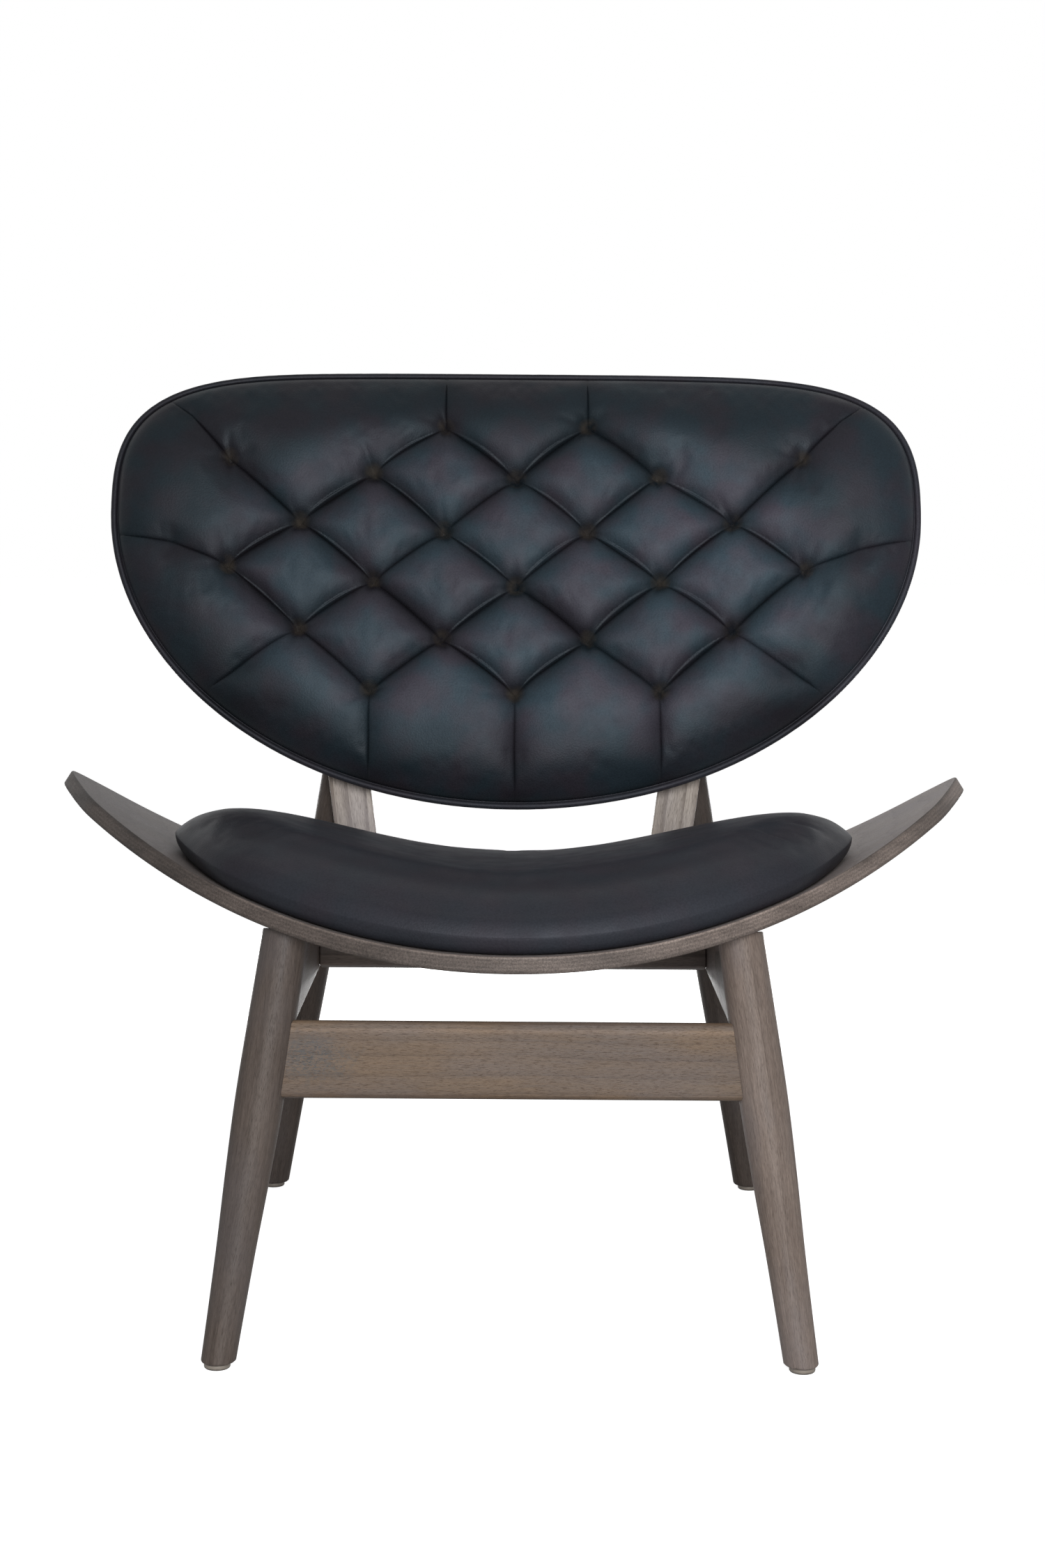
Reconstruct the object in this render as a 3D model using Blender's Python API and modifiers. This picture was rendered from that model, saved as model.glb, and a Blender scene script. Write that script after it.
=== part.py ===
"""Lounge chair with a tufted backrest.

A wing-shaped shell of bent plywood stands on four turned legs, two side rails and a rear
apron. Two flat posts and the tops of the rear legs carry an egg-shaped tufted backrest.
Metres, +Z up. The sitter faces -Y, and left and right are as seen from the front.
Run it from the text editor or with blender --background --python part.py
"""
import math

import bmesh
import bpy
import numpy as np
from mathutils import Matrix, Vector
from mathutils.geometry import delaunay_2d_cdt

# Fit between pieces
GAP = 0.0003
SOFT_GAP = 0.0008
EDGE_EASE = 0.0015

# Seat shell: bent plywood, measured on its underside
SHELL_HALF_SPAN = 0.4445
SHELL_THICKNESS = 0.015
SHELL_FRONT_Y = -0.269
SHELL_REAR_Y = 0.185
SHELL_TIP_Y = 0.092
SHELL_FRONT_HEIGHT = 0.3455
SHELL_WING_HEIGHT = 0.1423
SHELL_FRONT_SWEEP = 0.317
SHELL_REAR_SWEEP = 0.0729
SHELL_FRONT_POWER = 2.5
SHELL_REAR_POWER = 1.6
SHELL_NOSE_SHARE = 0.905
SHELL_NOSE_BLUNT_SHARE = 0.993
SHELL_EASE = 0.0012
SEAT_RAKE = math.radians(4.0)
SHELL_COLUMNS = 44

# Reclined frame of the backrest, posts and apron: its origin is the lowest point of the
# backrest's rim, N runs back through the thickness and V up along the recline
RECLINE = math.radians(17.83)
RIM_BEHIND_SHELL = 0.015
RIM_OVER_SHELL = 0.079
RIM_BOTTOM_Y = SHELL_REAR_Y + RIM_BEHIND_SHELL
RIM_BOTTOM_HEIGHT = SHELL_FRONT_HEIGHT + RIM_OVER_SHELL

# Leather covers on foam
COVER_THICKNESS = 0.0012
FOAM_GAP = 0.0005
SKIN_DEPTH = COVER_THICKNESS + FOAM_GAP

# Seat pad: plywood board, foam, and a cover turned in under the board
PAD_HALF_WIDTH = 0.3165
PAD_FRONT_INSET = 0.004
PAD_REAR_Y = 0.166
PAD_REAR_SWEEP = 0.024
PAD_NOSE_Y = -0.046
PAD_CENTRE_Y = -0.040
PAD_HEIGHT = 0.0725
PAD_SIDE_HEIGHT = 0.0125
PAD_BOARD_THICKNESS = 0.005
PAD_FRONT_NOSE_SHARE = 0.80
PAD_REAR_NOSE_SHARE = 0.60
PAD_CROWN_POWER = 9.0
PAD_CROWN_ROUND = 0.85
PAD_CROWN_SHARES = (0.0, 0.30, 0.55, 0.72, 0.82, 0.90, 0.95, 0.985, 1.0)
PAD_TURN_SHARE = 0.992
PAD_FOOT_SHARE = 0.968
PAD_LIP_SHARE = 0.90
PAD_BOARD_SHARES = (0.925, 0.70, 0.45, 0.20, 0.0)
PAD_SECTORS = 44

# Turned legs: shares of the length and of the radius, from foot to top
LEG_RADIUS = 0.0214
LEG_PROFILE_SHARES = ((0.0, 0.70), (0.14, 0.75), (0.27, 0.81), (0.43, 0.92), (0.60, 1.0),
                      (0.80, 0.985), (1.0, 0.95))
LEG_STEPS = 24
FOOT_EASE = 0.002
FRONT_FOOT = Vector((0.254, -0.283, 0.0))
FRONT_LEG_OVER_SHELL = 0.0225
FRONT_LEG_TOP = Vector((0.201, -0.194, SHELL_FRONT_HEIGHT + FRONT_LEG_OVER_SHELL))
REAR_FOOT = Vector((0.2575, 0.287, 0.0))
REAR_LEG_BEHIND_RIM = 0.0579
REAR_LEG_OVER_RIM = 0.0955
REAR_LEG_TOP = Vector((0.170, RIM_BOTTOM_Y + REAR_LEG_BEHIND_RIM,
                       RIM_BOTTOM_HEIGHT + REAR_LEG_OVER_RIM))

# Floor glides, nailed into the feet
GLIDE_RADIUS = 0.0115
GLIDE_HEIGHT = 0.005
GLIDE_EASE = 0.001
GLIDE_STEM_RADIUS = 0.0022
GLIDE_STEM_LENGTH = 0.014
GLIDE_STEPS = 16

# Side rails
RAIL_THICKNESS = 0.022
RAIL_INNER_FRONT_X = 0.191
RAIL_INNER_REAR_X = 0.200
RAIL_DROP = 0.0155
RAIL_MIDDLE_HEIGHT = SHELL_FRONT_HEIGHT - RAIL_DROP
RAIL_BOX_HEIGHT = 0.112
RAIL_TENON_HEIGHT = 0.040
RAIL_TENON_DROP = 0.022
TENON_THICKNESS = 0.010
TENON_STOP = 0.004

# Front stretcher, in the plane in which the front legs lean
STRETCHER_HEIGHT = 0.068
STRETCHER_THICKNESS = 0.022
STRETCHER_UNDER_SHELL = 0.0865
STRETCHER_MIDDLE_HEIGHT = SHELL_FRONT_HEIGHT - STRETCHER_UNDER_SHELL
STRETCHER_EASE = 0.0045
STRETCHER_TENON_HEIGHT = 0.040

# Backrest outline: an ellipse below its widest line, a squarer curve above it
BACK_HALF_WIDTH = 0.4226
BACK_LOWER_HEIGHT = 0.310
BACK_UPPER_HEIGHT = 0.161
BACK_UPPER_SIDE_POWER = 0.4
BACK_UPPER_TOP_POWER = 0.7
WRAP_START = 0.150
WRAP_DEPTH = 0.030
RIM_POINTS = 64
OUTLINE_SAMPLES = 1440

# Backrest layers
WELT_RADIUS = 0.0035
FRONT_EDGE_HEIGHT = 0.0008
FRONT_CROWN = 0.041
FRONT_ROLL = 0.075
FRONT_RING_INSETS = (0.0, 0.0025, 0.010, 0.027)
LATTICE_MARGIN = 0.040
BACK_BOARD_THICKNESS = 0.011
BACK_BOARD_INSETS = (0.010, 0.027)
BACK_BOARD_GAP = 0.0006
REAR_DEPTH = 0.016
REAR_RING_INSETS = (0.0, 0.002, 0.008, 0.015, 0.030)
REAR_RING_DEPTHS = (0.003, 0.010, 0.015, REAR_DEPTH, REAR_DEPTH)

# Tufting on a diamond lattice: rows and columns are counted in half pitches
TUFT_PITCH_X = 0.0747
TUFT_PITCH_V = 0.0575
TUFT_BASE_V = 0.229
TUFT_BOW_HEIGHT = 0.019
TUFT_BOW_HALF = 0.300
TUFT_ROWS = {3: (-1, 1), 2: (-4, -2, 0, 2, 4), 1: (-3, -1, 1, 3), 0: (-4, -2, 0, 2, 4),
             -1: (-3, -1, 1, 3), -2: (-2, 0, 2)}
RIM_CREASES = (((1, 3), (1, 4.4)), ((4, 2), (5.0, 3.0)), ((4, 0), (6, 0.4)),
               ((3, -1), (4.4, -2.4)), ((2, -2), (2, -4)), ((0, -2), (0, -4)))
TUFT_DEPTH = 0.017
TUFT_REACH = 0.020
CREASE_DEPTH = 0.010
CREASE_REACH = 0.013
RIM_CREASE_DEPTH = 0.005

# Back posts
POST_WIDTH = 0.042
POST_THICKNESS = 0.018
POST_X = 0.167
POST_SPLAY = math.radians(8.25)
POST_LOW_V = -0.155
POST_HIGH_V = 0.168
POST_CORNER = 0.012
CORNER_STEPS = 4

# Rear apron
APRON_THICKNESS = 0.022
APRON_LOW_V = -0.163
APRON_BOX_HEIGHT = 0.110
APRON_TENON_HEIGHT = 0.034
APRON_TENON_LENGTH = 0.010

# Fastenings
BOLT_RADIUS = 0.003
BOLT_HEAD_RADIUS = 0.006
BOLT_HEAD_HEIGHT = 0.003
BOLT_HEAD_CLEARANCE = 0.001
BOLT_TIP_INSET = 0.001
FASTENER_STEPS = 12
INSERT_RADIUS = 0.0048
INSERT_LENGTH = 0.0095
INSERT_SINK = 0.0018
SEAT_SCREW_PLACES = {"front": -0.165, "rear": 0.065}
SEAT_SCREW_DROP = 0.034
APRON_SCREW_PLACES = {"upper": POST_LOW_V + 0.043, "lower": POST_LOW_V + 0.012}
APRON_SCREW_BITE = 0.016
UPPER_BOLT_V = 0.140
LOWER_BOLT_V = 0.070
LOWER_BOLT_WOOD = 0.0175

SIDES = {"left": -1, "right": 1}

for old in list(bpy.data.objects):
    bpy.data.objects.remove(old)

chair = bpy.data.collections.new("tufted_lounge_chair")
cutters = bpy.data.collections.new("cutters")
for group in (chair, cutters):
    bpy.context.scene.collection.children.link(group)


# Materials

def finish(name, colour, roughness, metallic=0.0):
    """A plain Principled material."""
    material = bpy.data.materials.new(name)
    material.use_nodes = True
    shader = material.node_tree.nodes["Principled BSDF"]
    shader.inputs["Base Color"].default_value = (*colour, 1.0)
    shader.inputs["Roughness"].default_value = roughness
    shader.inputs["Metallic"].default_value = metallic
    material.diffuse_color = (*colour, 1.0)
    return material


WOOD = finish("stained_wood", (0.155, 0.120, 0.095), 0.50)
PLY = finish("stained_plywood", (0.160, 0.130, 0.118), 0.48)
LEATHER = finish("black_leather", (0.018, 0.021, 0.026), 0.42)
FOAM = finish("foam", (0.80, 0.74, 0.58), 0.95)
BARE_PLY = finish("bare_plywood", (0.55, 0.40, 0.25), 0.70)
NYLON = finish("glide_nylon", (0.20, 0.18, 0.16), 0.55)
STEEL = finish("zinc_steel", (0.60, 0.60, 0.58), 0.35, 1.0)


# Frames and objects

def add_frame(name, parent=None):
    """An empty that other objects hang from."""
    frame = bpy.data.objects.new(name, None)
    chair.objects.link(frame)
    frame.parent = parent
    return frame


floor_frame = add_frame("floor_frame")
recline_frame = add_frame("recline_frame", floor_frame)
recline_frame.location = (0, RIM_BOTTOM_Y, RIM_BOTTOM_HEIGHT)
recline_frame.rotation_euler = (-RECLINE, 0, 0)


def recline_point(n, v):
    """Y and height of a place in the reclined frame."""
    back, up = math.cos(RECLINE), math.sin(RECLINE)
    return RIM_BOTTOM_Y + n * back + v * up, RIM_BOTTOM_HEIGHT - n * up + v * back


def add_part(name, mesh, material, frame=floor_frame, place=None):
    """A named sub-part that hangs from a frame."""
    part = bpy.data.objects.new(name, mesh)
    chair.objects.link(part)
    part.parent = frame
    part.matrix_local = place if place is not None else Matrix()
    mesh.materials.clear()
    mesh.materials.append(material)
    return part


def as_cutter(part):
    """Moves an object to the cutters."""
    chair.objects.unlink(part)
    cutters.objects.link(part)
    part.hide_render = True
    part.display_type = "WIRE"
    return part


def boolean(part, tool, operation="DIFFERENCE"):
    """A live Boolean with the exact solver."""
    modifier = part.modifiers.new(operation.lower(), "BOOLEAN")
    modifier.operation = operation
    modifier.solver = "EXACT"
    modifier.object = tool


def ease_edges(part, width, segments=1):
    """Small bevels on the sharp edges."""
    modifier = part.modifiers.new("eased_edges", "BEVEL")
    modifier.width = width
    modifier.segments = segments
    modifier.limit_method = "ANGLE"
    modifier.angle_limit = math.radians(50)


def thicken(part, thickness, side, lift=0.0):
    """Solidify on one side of the surface, 1 along its normals, from a lift off it."""
    modifier = part.modifiers.new("thickness", "SOLIDIFY")
    modifier.thickness = thickness
    modifier.offset = side * (1 + 2 * lift / thickness)
    modifier.use_even_offset = True


def plain_mesh(holder):
    """The evaluated mesh of an object, welded."""
    bpy.context.view_layer.update()
    evaluated = holder.evaluated_get(bpy.context.evaluated_depsgraph_get())
    mesh = bpy.data.meshes.new_from_object(evaluated)
    bm = bmesh.new()
    bm.from_mesh(mesh)
    bmesh.ops.remove_doubles(bm, verts=bm.verts, dist=GAP / 10)
    bmesh.ops.recalc_face_normals(bm, faces=bm.faces)
    bm.to_mesh(mesh)
    bm.free()
    return mesh


def smooth(part):
    """Round surfaces shade smooth, sharp edges stay sharp."""
    part.data.shade_smooth()
    part.data.set_sharp_from_angle(angle=math.radians(35))
    return part


def box_mesh(name, size):
    """A box about its centre, its size in its mesh."""
    mesh = bpy.data.meshes.new(name)
    bm = bmesh.new()
    bmesh.ops.create_cube(bm, size=1)
    bmesh.ops.scale(bm, vec=Vector(size), verts=bm.verts)
    bm.to_mesh(mesh)
    bm.free()
    return mesh


def turned(name, profile, material, frame=floor_frame, place=None, steps=FASTENER_STEPS,
           ring=False):
    """A turned solid: (radius, height) points down its outer side, closed if it is a ring."""
    mesh = bpy.data.meshes.new(name)
    edges = [(i, i + 1) for i in range(len(profile) - 1)]
    if ring:
        edges.append((len(profile) - 1, 0))
    mesh.from_pydata([(radius, 0, height) for radius, height in profile], edges, [])
    part = add_part(name, mesh, material, frame, place)
    screw = part.modifiers.new("turning", "SCREW")
    screw.axis = "Z"
    screw.steps = screw.render_steps = steps
    screw.use_merge_vertices = True
    screw.merge_threshold = GAP / 10
    return part


def grid_mesh(name, columns, rows, place):
    """A grid whose corners run from -1 to 1, each point put where place(u, v) says."""
    mesh = bpy.data.meshes.new(name)
    bm = bmesh.new()
    bmesh.ops.create_grid(bm, x_segments=columns, y_segments=rows, size=1)
    for vert in bm.verts:
        vert.co = place(vert.co.x, vert.co.y)
    bm.to_mesh(mesh)
    bm.free()
    return mesh


# Outlines, as arrays of points

def even_outline(curve, count):
    """Points at equal steps along a closed curve given as many close points."""
    closed = np.vstack([curve, curve[:1]])
    lengths = np.concatenate([[0], np.cumsum(np.linalg.norm(np.diff(closed, axis=0), axis=1))])
    stops = np.linspace(0, lengths[-1], count, endpoint=False)
    return np.column_stack([np.interp(stops, lengths, closed[:, axis]) for axis in (0, 1)])


def inset_outline(curve, distance):
    """An anticlockwise outline moved in along its normals."""
    along = np.roll(curve, -1, axis=0) - np.roll(curve, 1, axis=0)
    along /= np.linalg.norm(along, axis=1)[:, None]
    return curve + distance * np.column_stack([-along[:, 1], along[:, 0]])


def segment_distance(points, start, end):
    """Distance from each point to a straight segment."""
    run = end - start
    share = np.clip(((points - start) @ run) / (run @ run), 0, 1)
    return np.linalg.norm(points - start - share[:, None] * run, axis=1)


def outline_distance(points, curve):
    """Distance from each point to a closed outline."""
    pairs = zip(curve, np.roll(curve, -1, axis=0))
    return np.min([segment_distance(points, start, end) for start, end in pairs], axis=0)


def inside_outline(points, curve):
    """Which points lie inside a closed outline."""
    ahead = np.roll(curve, -1, axis=0)
    inside = []
    for x, y in points:
        straddles = (curve[:, 1] > y) != (ahead[:, 1] > y)
        near, far = curve[straddles], ahead[straddles]
        share = (y - near[:, 1]) / (far[:, 1] - near[:, 1])
        crossings = near[:, 0] + share * (far[:, 0] - near[:, 0])
        inside.append(np.count_nonzero(crossings > x) % 2 == 1)
    return np.array(inside)


# Seat shell

def shell_under(x, y):
    """Height of the shell's underside."""
    dish = SHELL_WING_HEIGHT * (x / SHELL_HALF_SPAN) ** 2
    return SHELL_FRONT_HEIGHT + dish - math.tan(SEAT_RAKE) * (y - SHELL_FRONT_Y)


def shell_top(x, y):
    """Height of the shell's upper face."""
    slope = 2 * SHELL_WING_HEIGHT * x / SHELL_HALF_SPAN ** 2
    return shell_under(x, y) + SHELL_THICKNESS * math.hypot(1, slope)


def front_edge(x):
    """Front edge of the shell in plan, before its tips are rounded."""
    return SHELL_FRONT_Y + SHELL_FRONT_SWEEP * (abs(x) / SHELL_HALF_SPAN) ** SHELL_FRONT_POWER


def rear_edge(x):
    """Rear edge of the shell in plan, before its tips are rounded."""
    return SHELL_REAR_Y - SHELL_REAR_SWEEP * (abs(x) / SHELL_HALF_SPAN) ** SHELL_REAR_POWER


def nose_depth(x, half, start_share, blunt_share=1.0):
    """Share of the depth that is left at x where an end is rounded as an ellipse."""
    run = np.clip((abs(x) / half - start_share) / (1 - start_share), 0, 1)
    return np.sqrt(1 - blunt_share * run ** 2)


def make_seat_shell():
    """Bent plywood with wings: its underside is formed, then thickened upwards."""
    def place(u, v):
        x = SHELL_HALF_SPAN * math.sin(math.pi / 2 * u)
        left = nose_depth(x, SHELL_HALF_SPAN, SHELL_NOSE_SHARE, SHELL_NOSE_BLUNT_SHARE)
        front = SHELL_TIP_Y + (front_edge(x) - SHELL_TIP_Y) * left
        rear = SHELL_TIP_Y + (rear_edge(x) - SHELL_TIP_Y) * left
        y = front + (rear - front) * (v + 1) / 2
        return x, y, shell_under(x, y)

    shell = add_part("seat_shell", grid_mesh("seat_shell", SHELL_COLUMNS, 2, place), PLY)
    thicken(shell, SHELL_THICKNESS, 1)
    ease_edges(shell, SHELL_EASE)
    return smooth(shell)


def make_seat_trimmer():
    """A cutter that follows the shell's underside, for what stands under the shell."""
    half_x, half_y = FRONT_FOOT.x, REAR_FOOT.y

    def place(u, v):
        x, y = half_x * u, half_y * v
        return x, y, shell_under(x, y) - GAP

    mesh = grid_mesh("seat_trimmer", SHELL_COLUMNS, 1, place)
    trimmer = as_cutter(add_part("seat_trimmer", mesh, PLY))
    thicken(trimmer, RAIL_BOX_HEIGHT, 1)
    return trimmer


# Seat pad

def pad_outline():
    """The pad in plan, anticlockwise from the middle of its front."""
    turn = np.linspace(0, 2 * math.pi, OUTLINE_SAMPLES, endpoint=False)
    x = PAD_HALF_WIDTH * np.sin(turn)
    front = front_edge(x) + PAD_FRONT_INSET - PAD_NOSE_Y
    rear = PAD_REAR_Y - PAD_REAR_SWEEP * (x / PAD_HALF_WIDTH) ** 2 - PAD_NOSE_Y
    front = front * nose_depth(x, PAD_HALF_WIDTH, PAD_FRONT_NOSE_SHARE)
    rear = rear * nose_depth(x, PAD_HALF_WIDTH, PAD_REAR_NOSE_SHARE)
    y = PAD_NOSE_Y + np.where(np.cos(turn) > 0, front, rear)
    return even_outline(np.column_stack([x, y]), PAD_SECTORS)


PAD_CENTRE = np.array([0, PAD_CENTRE_Y])
PAD_SKIN = inset_outline(pad_outline(), SKIN_DEPTH)
PAD_BASE = SOFT_GAP + SKIN_DEPTH
PAD_FOAM_BASE = PAD_BASE + PAD_BOARD_THICKNESS + GAP


def pad_crown():
    """Levels of the foam's crowned face, as shares of the outline and heights, from the top."""
    rise = PAD_HEIGHT - SKIN_DEPTH - PAD_SIDE_HEIGHT
    return [(share, PAD_SIDE_HEIGHT + rise * (1 - share ** PAD_CROWN_POWER) ** PAD_CROWN_ROUND)
            for share in PAD_CROWN_SHARES]


def pad_layer(name, levels, material, open_below=False):
    """A sphere remapped to levels of the pad's outline, each at its height over the shell.

    Its faces are split along their shorter diagonals, so that layers that lie on each other
    bend alike.
    """
    rows = len(levels) - 1
    mesh = bpy.data.meshes.new(name)
    bm = bmesh.new()
    bmesh.ops.create_uvsphere(bm, u_segments=PAD_SECTORS, v_segments=rows, radius=1)
    for vert in list(bm.verts):
        row = round(math.acos(max(-1, min(1, vert.co.z))) / math.pi * rows)
        turn = math.atan2(vert.co.y, vert.co.x) / (2 * math.pi)
        share, height = levels[row]
        x, y = PAD_CENTRE + share * (PAD_SKIN[round(turn * PAD_SECTORS) % PAD_SECTORS] - PAD_CENTRE)
        vert.co = (x, y, shell_top(x, y) + height)
        if open_below and row == rows:
            bm.verts.remove(vert)
    bmesh.ops.triangulate(bm, faces=bm.faces, quad_method="SHORT_EDGE")
    bm.to_mesh(mesh)
    bm.free()
    return smooth(add_part(name, mesh, material))


def make_seat_pad():
    """Board, foam and leather cover, bent to the shell that they rest on."""
    board = [(share, PAD_BASE + PAD_BOARD_THICKNESS) for share in reversed(PAD_BOARD_SHARES)]
    board += [(share, PAD_BASE) for share in PAD_BOARD_SHARES]
    pad_layer("seat_pad_board", board, BARE_PLY)
    foam = pad_crown() + [(PAD_TURN_SHARE, PAD_FOAM_BASE)]
    foam += [(share, PAD_FOAM_BASE) for share in PAD_BOARD_SHARES]
    pad_layer("seat_pad_foam", foam, FOAM)
    turn_height = (PAD_BASE + PAD_SIDE_HEIGHT) / 2
    skin = pad_crown() + [(PAD_TURN_SHARE, turn_height), (PAD_FOOT_SHARE, PAD_BASE),
                          (PAD_LIP_SHARE, PAD_BASE), (0.0, PAD_BASE)]
    cover = pad_layer("seat_pad_cover", skin, LEATHER, open_below=True)
    thicken(cover, COVER_THICKNESS, 1, FOAM_GAP)


# Legs and glides

def leg_place(foot, top):
    """Foot at the origin, +Z towards the top, of a leg that leans from foot to top."""
    lean = (top - foot).to_track_quat("Z", "Y").to_matrix().to_4x4()
    return Matrix.Translation(foot) @ lean


def leg_profile(length, clearance, run_on):
    """Points down a leg's outer side, run on above its top and below its foot."""
    side = [(share * length, LEG_RADIUS * radius_share + clearance)
            for share, radius_share in reversed(LEG_PROFILE_SHARES)]
    points = [(radius, height) for height, radius in side]
    if run_on:
        points.insert(0, (points[0][0], length + run_on))
    points.append((points[-1][0], -LEG_RADIUS))
    return [(0, points[0][1]), *points, (0, points[-1][1])]


def make_leg(name, foot, top):
    """A turned leg, its foot cut level with the floor and eased."""
    place = leg_place(foot, top)
    blank = turned(name, leg_profile((top - foot).length, 0, 0), WOOD, steps=LEG_STEPS)
    mesh = plain_mesh(blank)
    bpy.data.objects.remove(blank)
    to_leg = place.inverted()
    bm = bmesh.new()
    bm.from_mesh(mesh)
    cut = bmesh.ops.bisect_plane(
        bm, geom=bm.verts[:] + bm.edges[:] + bm.faces[:], clear_inner=True,
        plane_co=to_leg @ Vector((foot.x, foot.y, GLIDE_HEIGHT + GAP)),
        plane_no=to_leg.to_3x3() @ Vector((0, 0, 1)))
    rim = [item for item in cut["geom_cut"] if isinstance(item, bmesh.types.BMEdge)]
    bmesh.ops.contextual_create(bm, geom=rim)
    bmesh.ops.bevel(bm, geom=rim, offset=FOOT_EASE, segments=1, affect="EDGES")
    bmesh.ops.recalc_face_normals(bm, faces=bm.faces)
    bm.to_mesh(mesh)
    bm.free()
    return smooth(add_part(name, mesh, WOOD, place=place))


def make_coper(name, foot, top):
    """The leg's own shape with a gap round it, for the ends of the boards that meet it."""
    profile = leg_profile((top - foot).length, GAP, SHELL_THICKNESS)
    return as_cutter(turned(name, profile, WOOD, place=leg_place(foot, top), steps=LEG_STEPS))


def make_glide(name, foot, leg):
    """A nylon disc flat on the floor, its stem in the leg's foot."""
    place = Matrix.Translation((foot.x, foot.y, 0))
    top, rim = GLIDE_HEIGHT + GLIDE_STEM_LENGTH, GLIDE_RADIUS
    profile = [(0, top), (GLIDE_STEM_RADIUS, top), (GLIDE_STEM_RADIUS, GLIDE_HEIGHT),
               (rim - GLIDE_EASE, GLIDE_HEIGHT), (rim, GLIDE_HEIGHT - GLIDE_EASE),
               (rim, GLIDE_EASE), (rim - GLIDE_EASE, 0), (0, 0)]
    turned(name, profile, NYLON, place=place, steps=GLIDE_STEPS)
    bore = GLIDE_STEM_RADIUS + GAP
    profile = [(0, top + GAP), (bore, top + GAP), (bore, 0), (0, 0)]
    boolean(leg, as_cutter(turned(name + "_bore", profile, NYLON, place=place)))


def axis_point(foot, top, height):
    """Where a leg's axis passes a height."""
    return foot.lerp(top, (height - foot.z) / (top.z - foot.z))


# Boards

def tenon(board, host, name, size, place):
    """A tenon on a board and its mortise in the piece that it enters."""
    tongue = add_part(name + "_tenon", box_mesh(name, size), WOOD, board.parent, place)
    boolean(board, as_cutter(tongue), "UNION")
    roomy = [side + 2 * GAP for side in size]
    socket = add_part(name + "_mortise", box_mesh(name, roomy), WOOD, board.parent, place)
    boolean(host, as_cutter(socket))


RAIL_FRONT = axis_point(FRONT_FOOT, FRONT_LEG_TOP, RAIL_MIDDLE_HEIGHT)
RAIL_REAR = axis_point(REAR_FOOT, REAR_LEG_TOP, RAIL_MIDDLE_HEIGHT)
RAIL_TOE = (RAIL_INNER_REAR_X - RAIL_INNER_FRONT_X) / (RAIL_REAR.y - RAIL_FRONT.y)
RAIL_RUN = (RAIL_REAR.y - RAIL_FRONT.y) / math.cos(SEAT_RAKE)


def rail_place(side):
    """Middle of a side rail, its Y along the rail and its Z up it."""
    x = (RAIL_INNER_FRONT_X + RAIL_INNER_REAR_X + RAIL_THICKNESS) / 2
    y = (RAIL_FRONT.y + RAIL_REAR.y) / 2
    return (Matrix.Translation((x * side, y, RAIL_MIDDLE_HEIGHT))
            @ Matrix.Rotation(-math.atan(RAIL_TOE) * side, 4, "Z")
            @ Matrix.Rotation(-SEAT_RAKE, 4, "X"))


def make_side_rail(name, side, ends, trimmer):
    """A board from the front leg to the rear leg, coped to both, under the shell."""
    place = rail_place(side)
    mesh = box_mesh(name, (RAIL_THICKNESS, RAIL_RUN, RAIL_BOX_HEIGHT))
    rail = add_part(name, mesh, WOOD, place=place)
    ease_edges(rail, EDGE_EASE)
    boolean(rail, trimmer)
    size = (TENON_THICKNESS, 2 * LEG_RADIUS, RAIL_TENON_HEIGHT)
    reach = RAIL_RUN / 2 - TENON_STOP - LEG_RADIUS
    for direction, (word, (leg, coper)) in zip((-1, 1), ends.items()):
        boolean(rail, coper)
        at = place @ Matrix.Translation((0, direction * reach, -RAIL_TENON_DROP))
        tenon(rail, leg, f"{name}_{word}", size, at)
    return rail


def make_stretcher(legs, copers, rails):
    """A board between the front legs, leaning as they do, with room for it in the rails."""
    middle = axis_point(FRONT_FOOT, FRONT_LEG_TOP, STRETCHER_MIDDLE_HEIGHT)
    upper = axis_point(FRONT_FOOT, FRONT_LEG_TOP, STRETCHER_MIDDLE_HEIGHT + STRETCHER_HEIGHT / 2)
    rise = FRONT_LEG_TOP - FRONT_FOOT
    lean = Matrix.Rotation(-math.atan2(rise.y, rise.z), 4, "X")
    place = Matrix.Translation((0, middle.y, middle.z)) @ lean
    size = (2 * upper.x, STRETCHER_THICKNESS, STRETCHER_HEIGHT)
    board = add_part("front_stretcher", box_mesh("front_stretcher", size), WOOD, place=place)
    roomy = [side + 2 * GAP for side in size]
    room = as_cutter(add_part("stretcher_room", box_mesh("stretcher_room", roomy), WOOD, place=place))
    for part in (board, room):
        ease_edges(part, STRETCHER_EASE, 2)
    size = (2 * LEG_RADIUS, TENON_THICKNESS, STRETCHER_TENON_HEIGHT)
    for word, side in SIDES.items():
        boolean(board, copers[word])
        at = place @ Matrix.Translation((side * (upper.x - TENON_STOP - LEG_RADIUS), 0, 0))
        tenon(board, legs[word], f"front_stretcher_{word}", size, at)
        boolean(rails[word], room)


# Places through the reclined thickness, from front to back
POST_FRONT = REAR_DEPTH + GAP
POST_REAR = POST_FRONT + POST_THICKNESS
BOARD_REAR = REAR_DEPTH - COVER_THICKNESS - BACK_BOARD_GAP
BOARD_FRONT = BOARD_REAR - BACK_BOARD_THICKNESS
FOAM_REAR = BOARD_FRONT - BACK_BOARD_GAP


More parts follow.
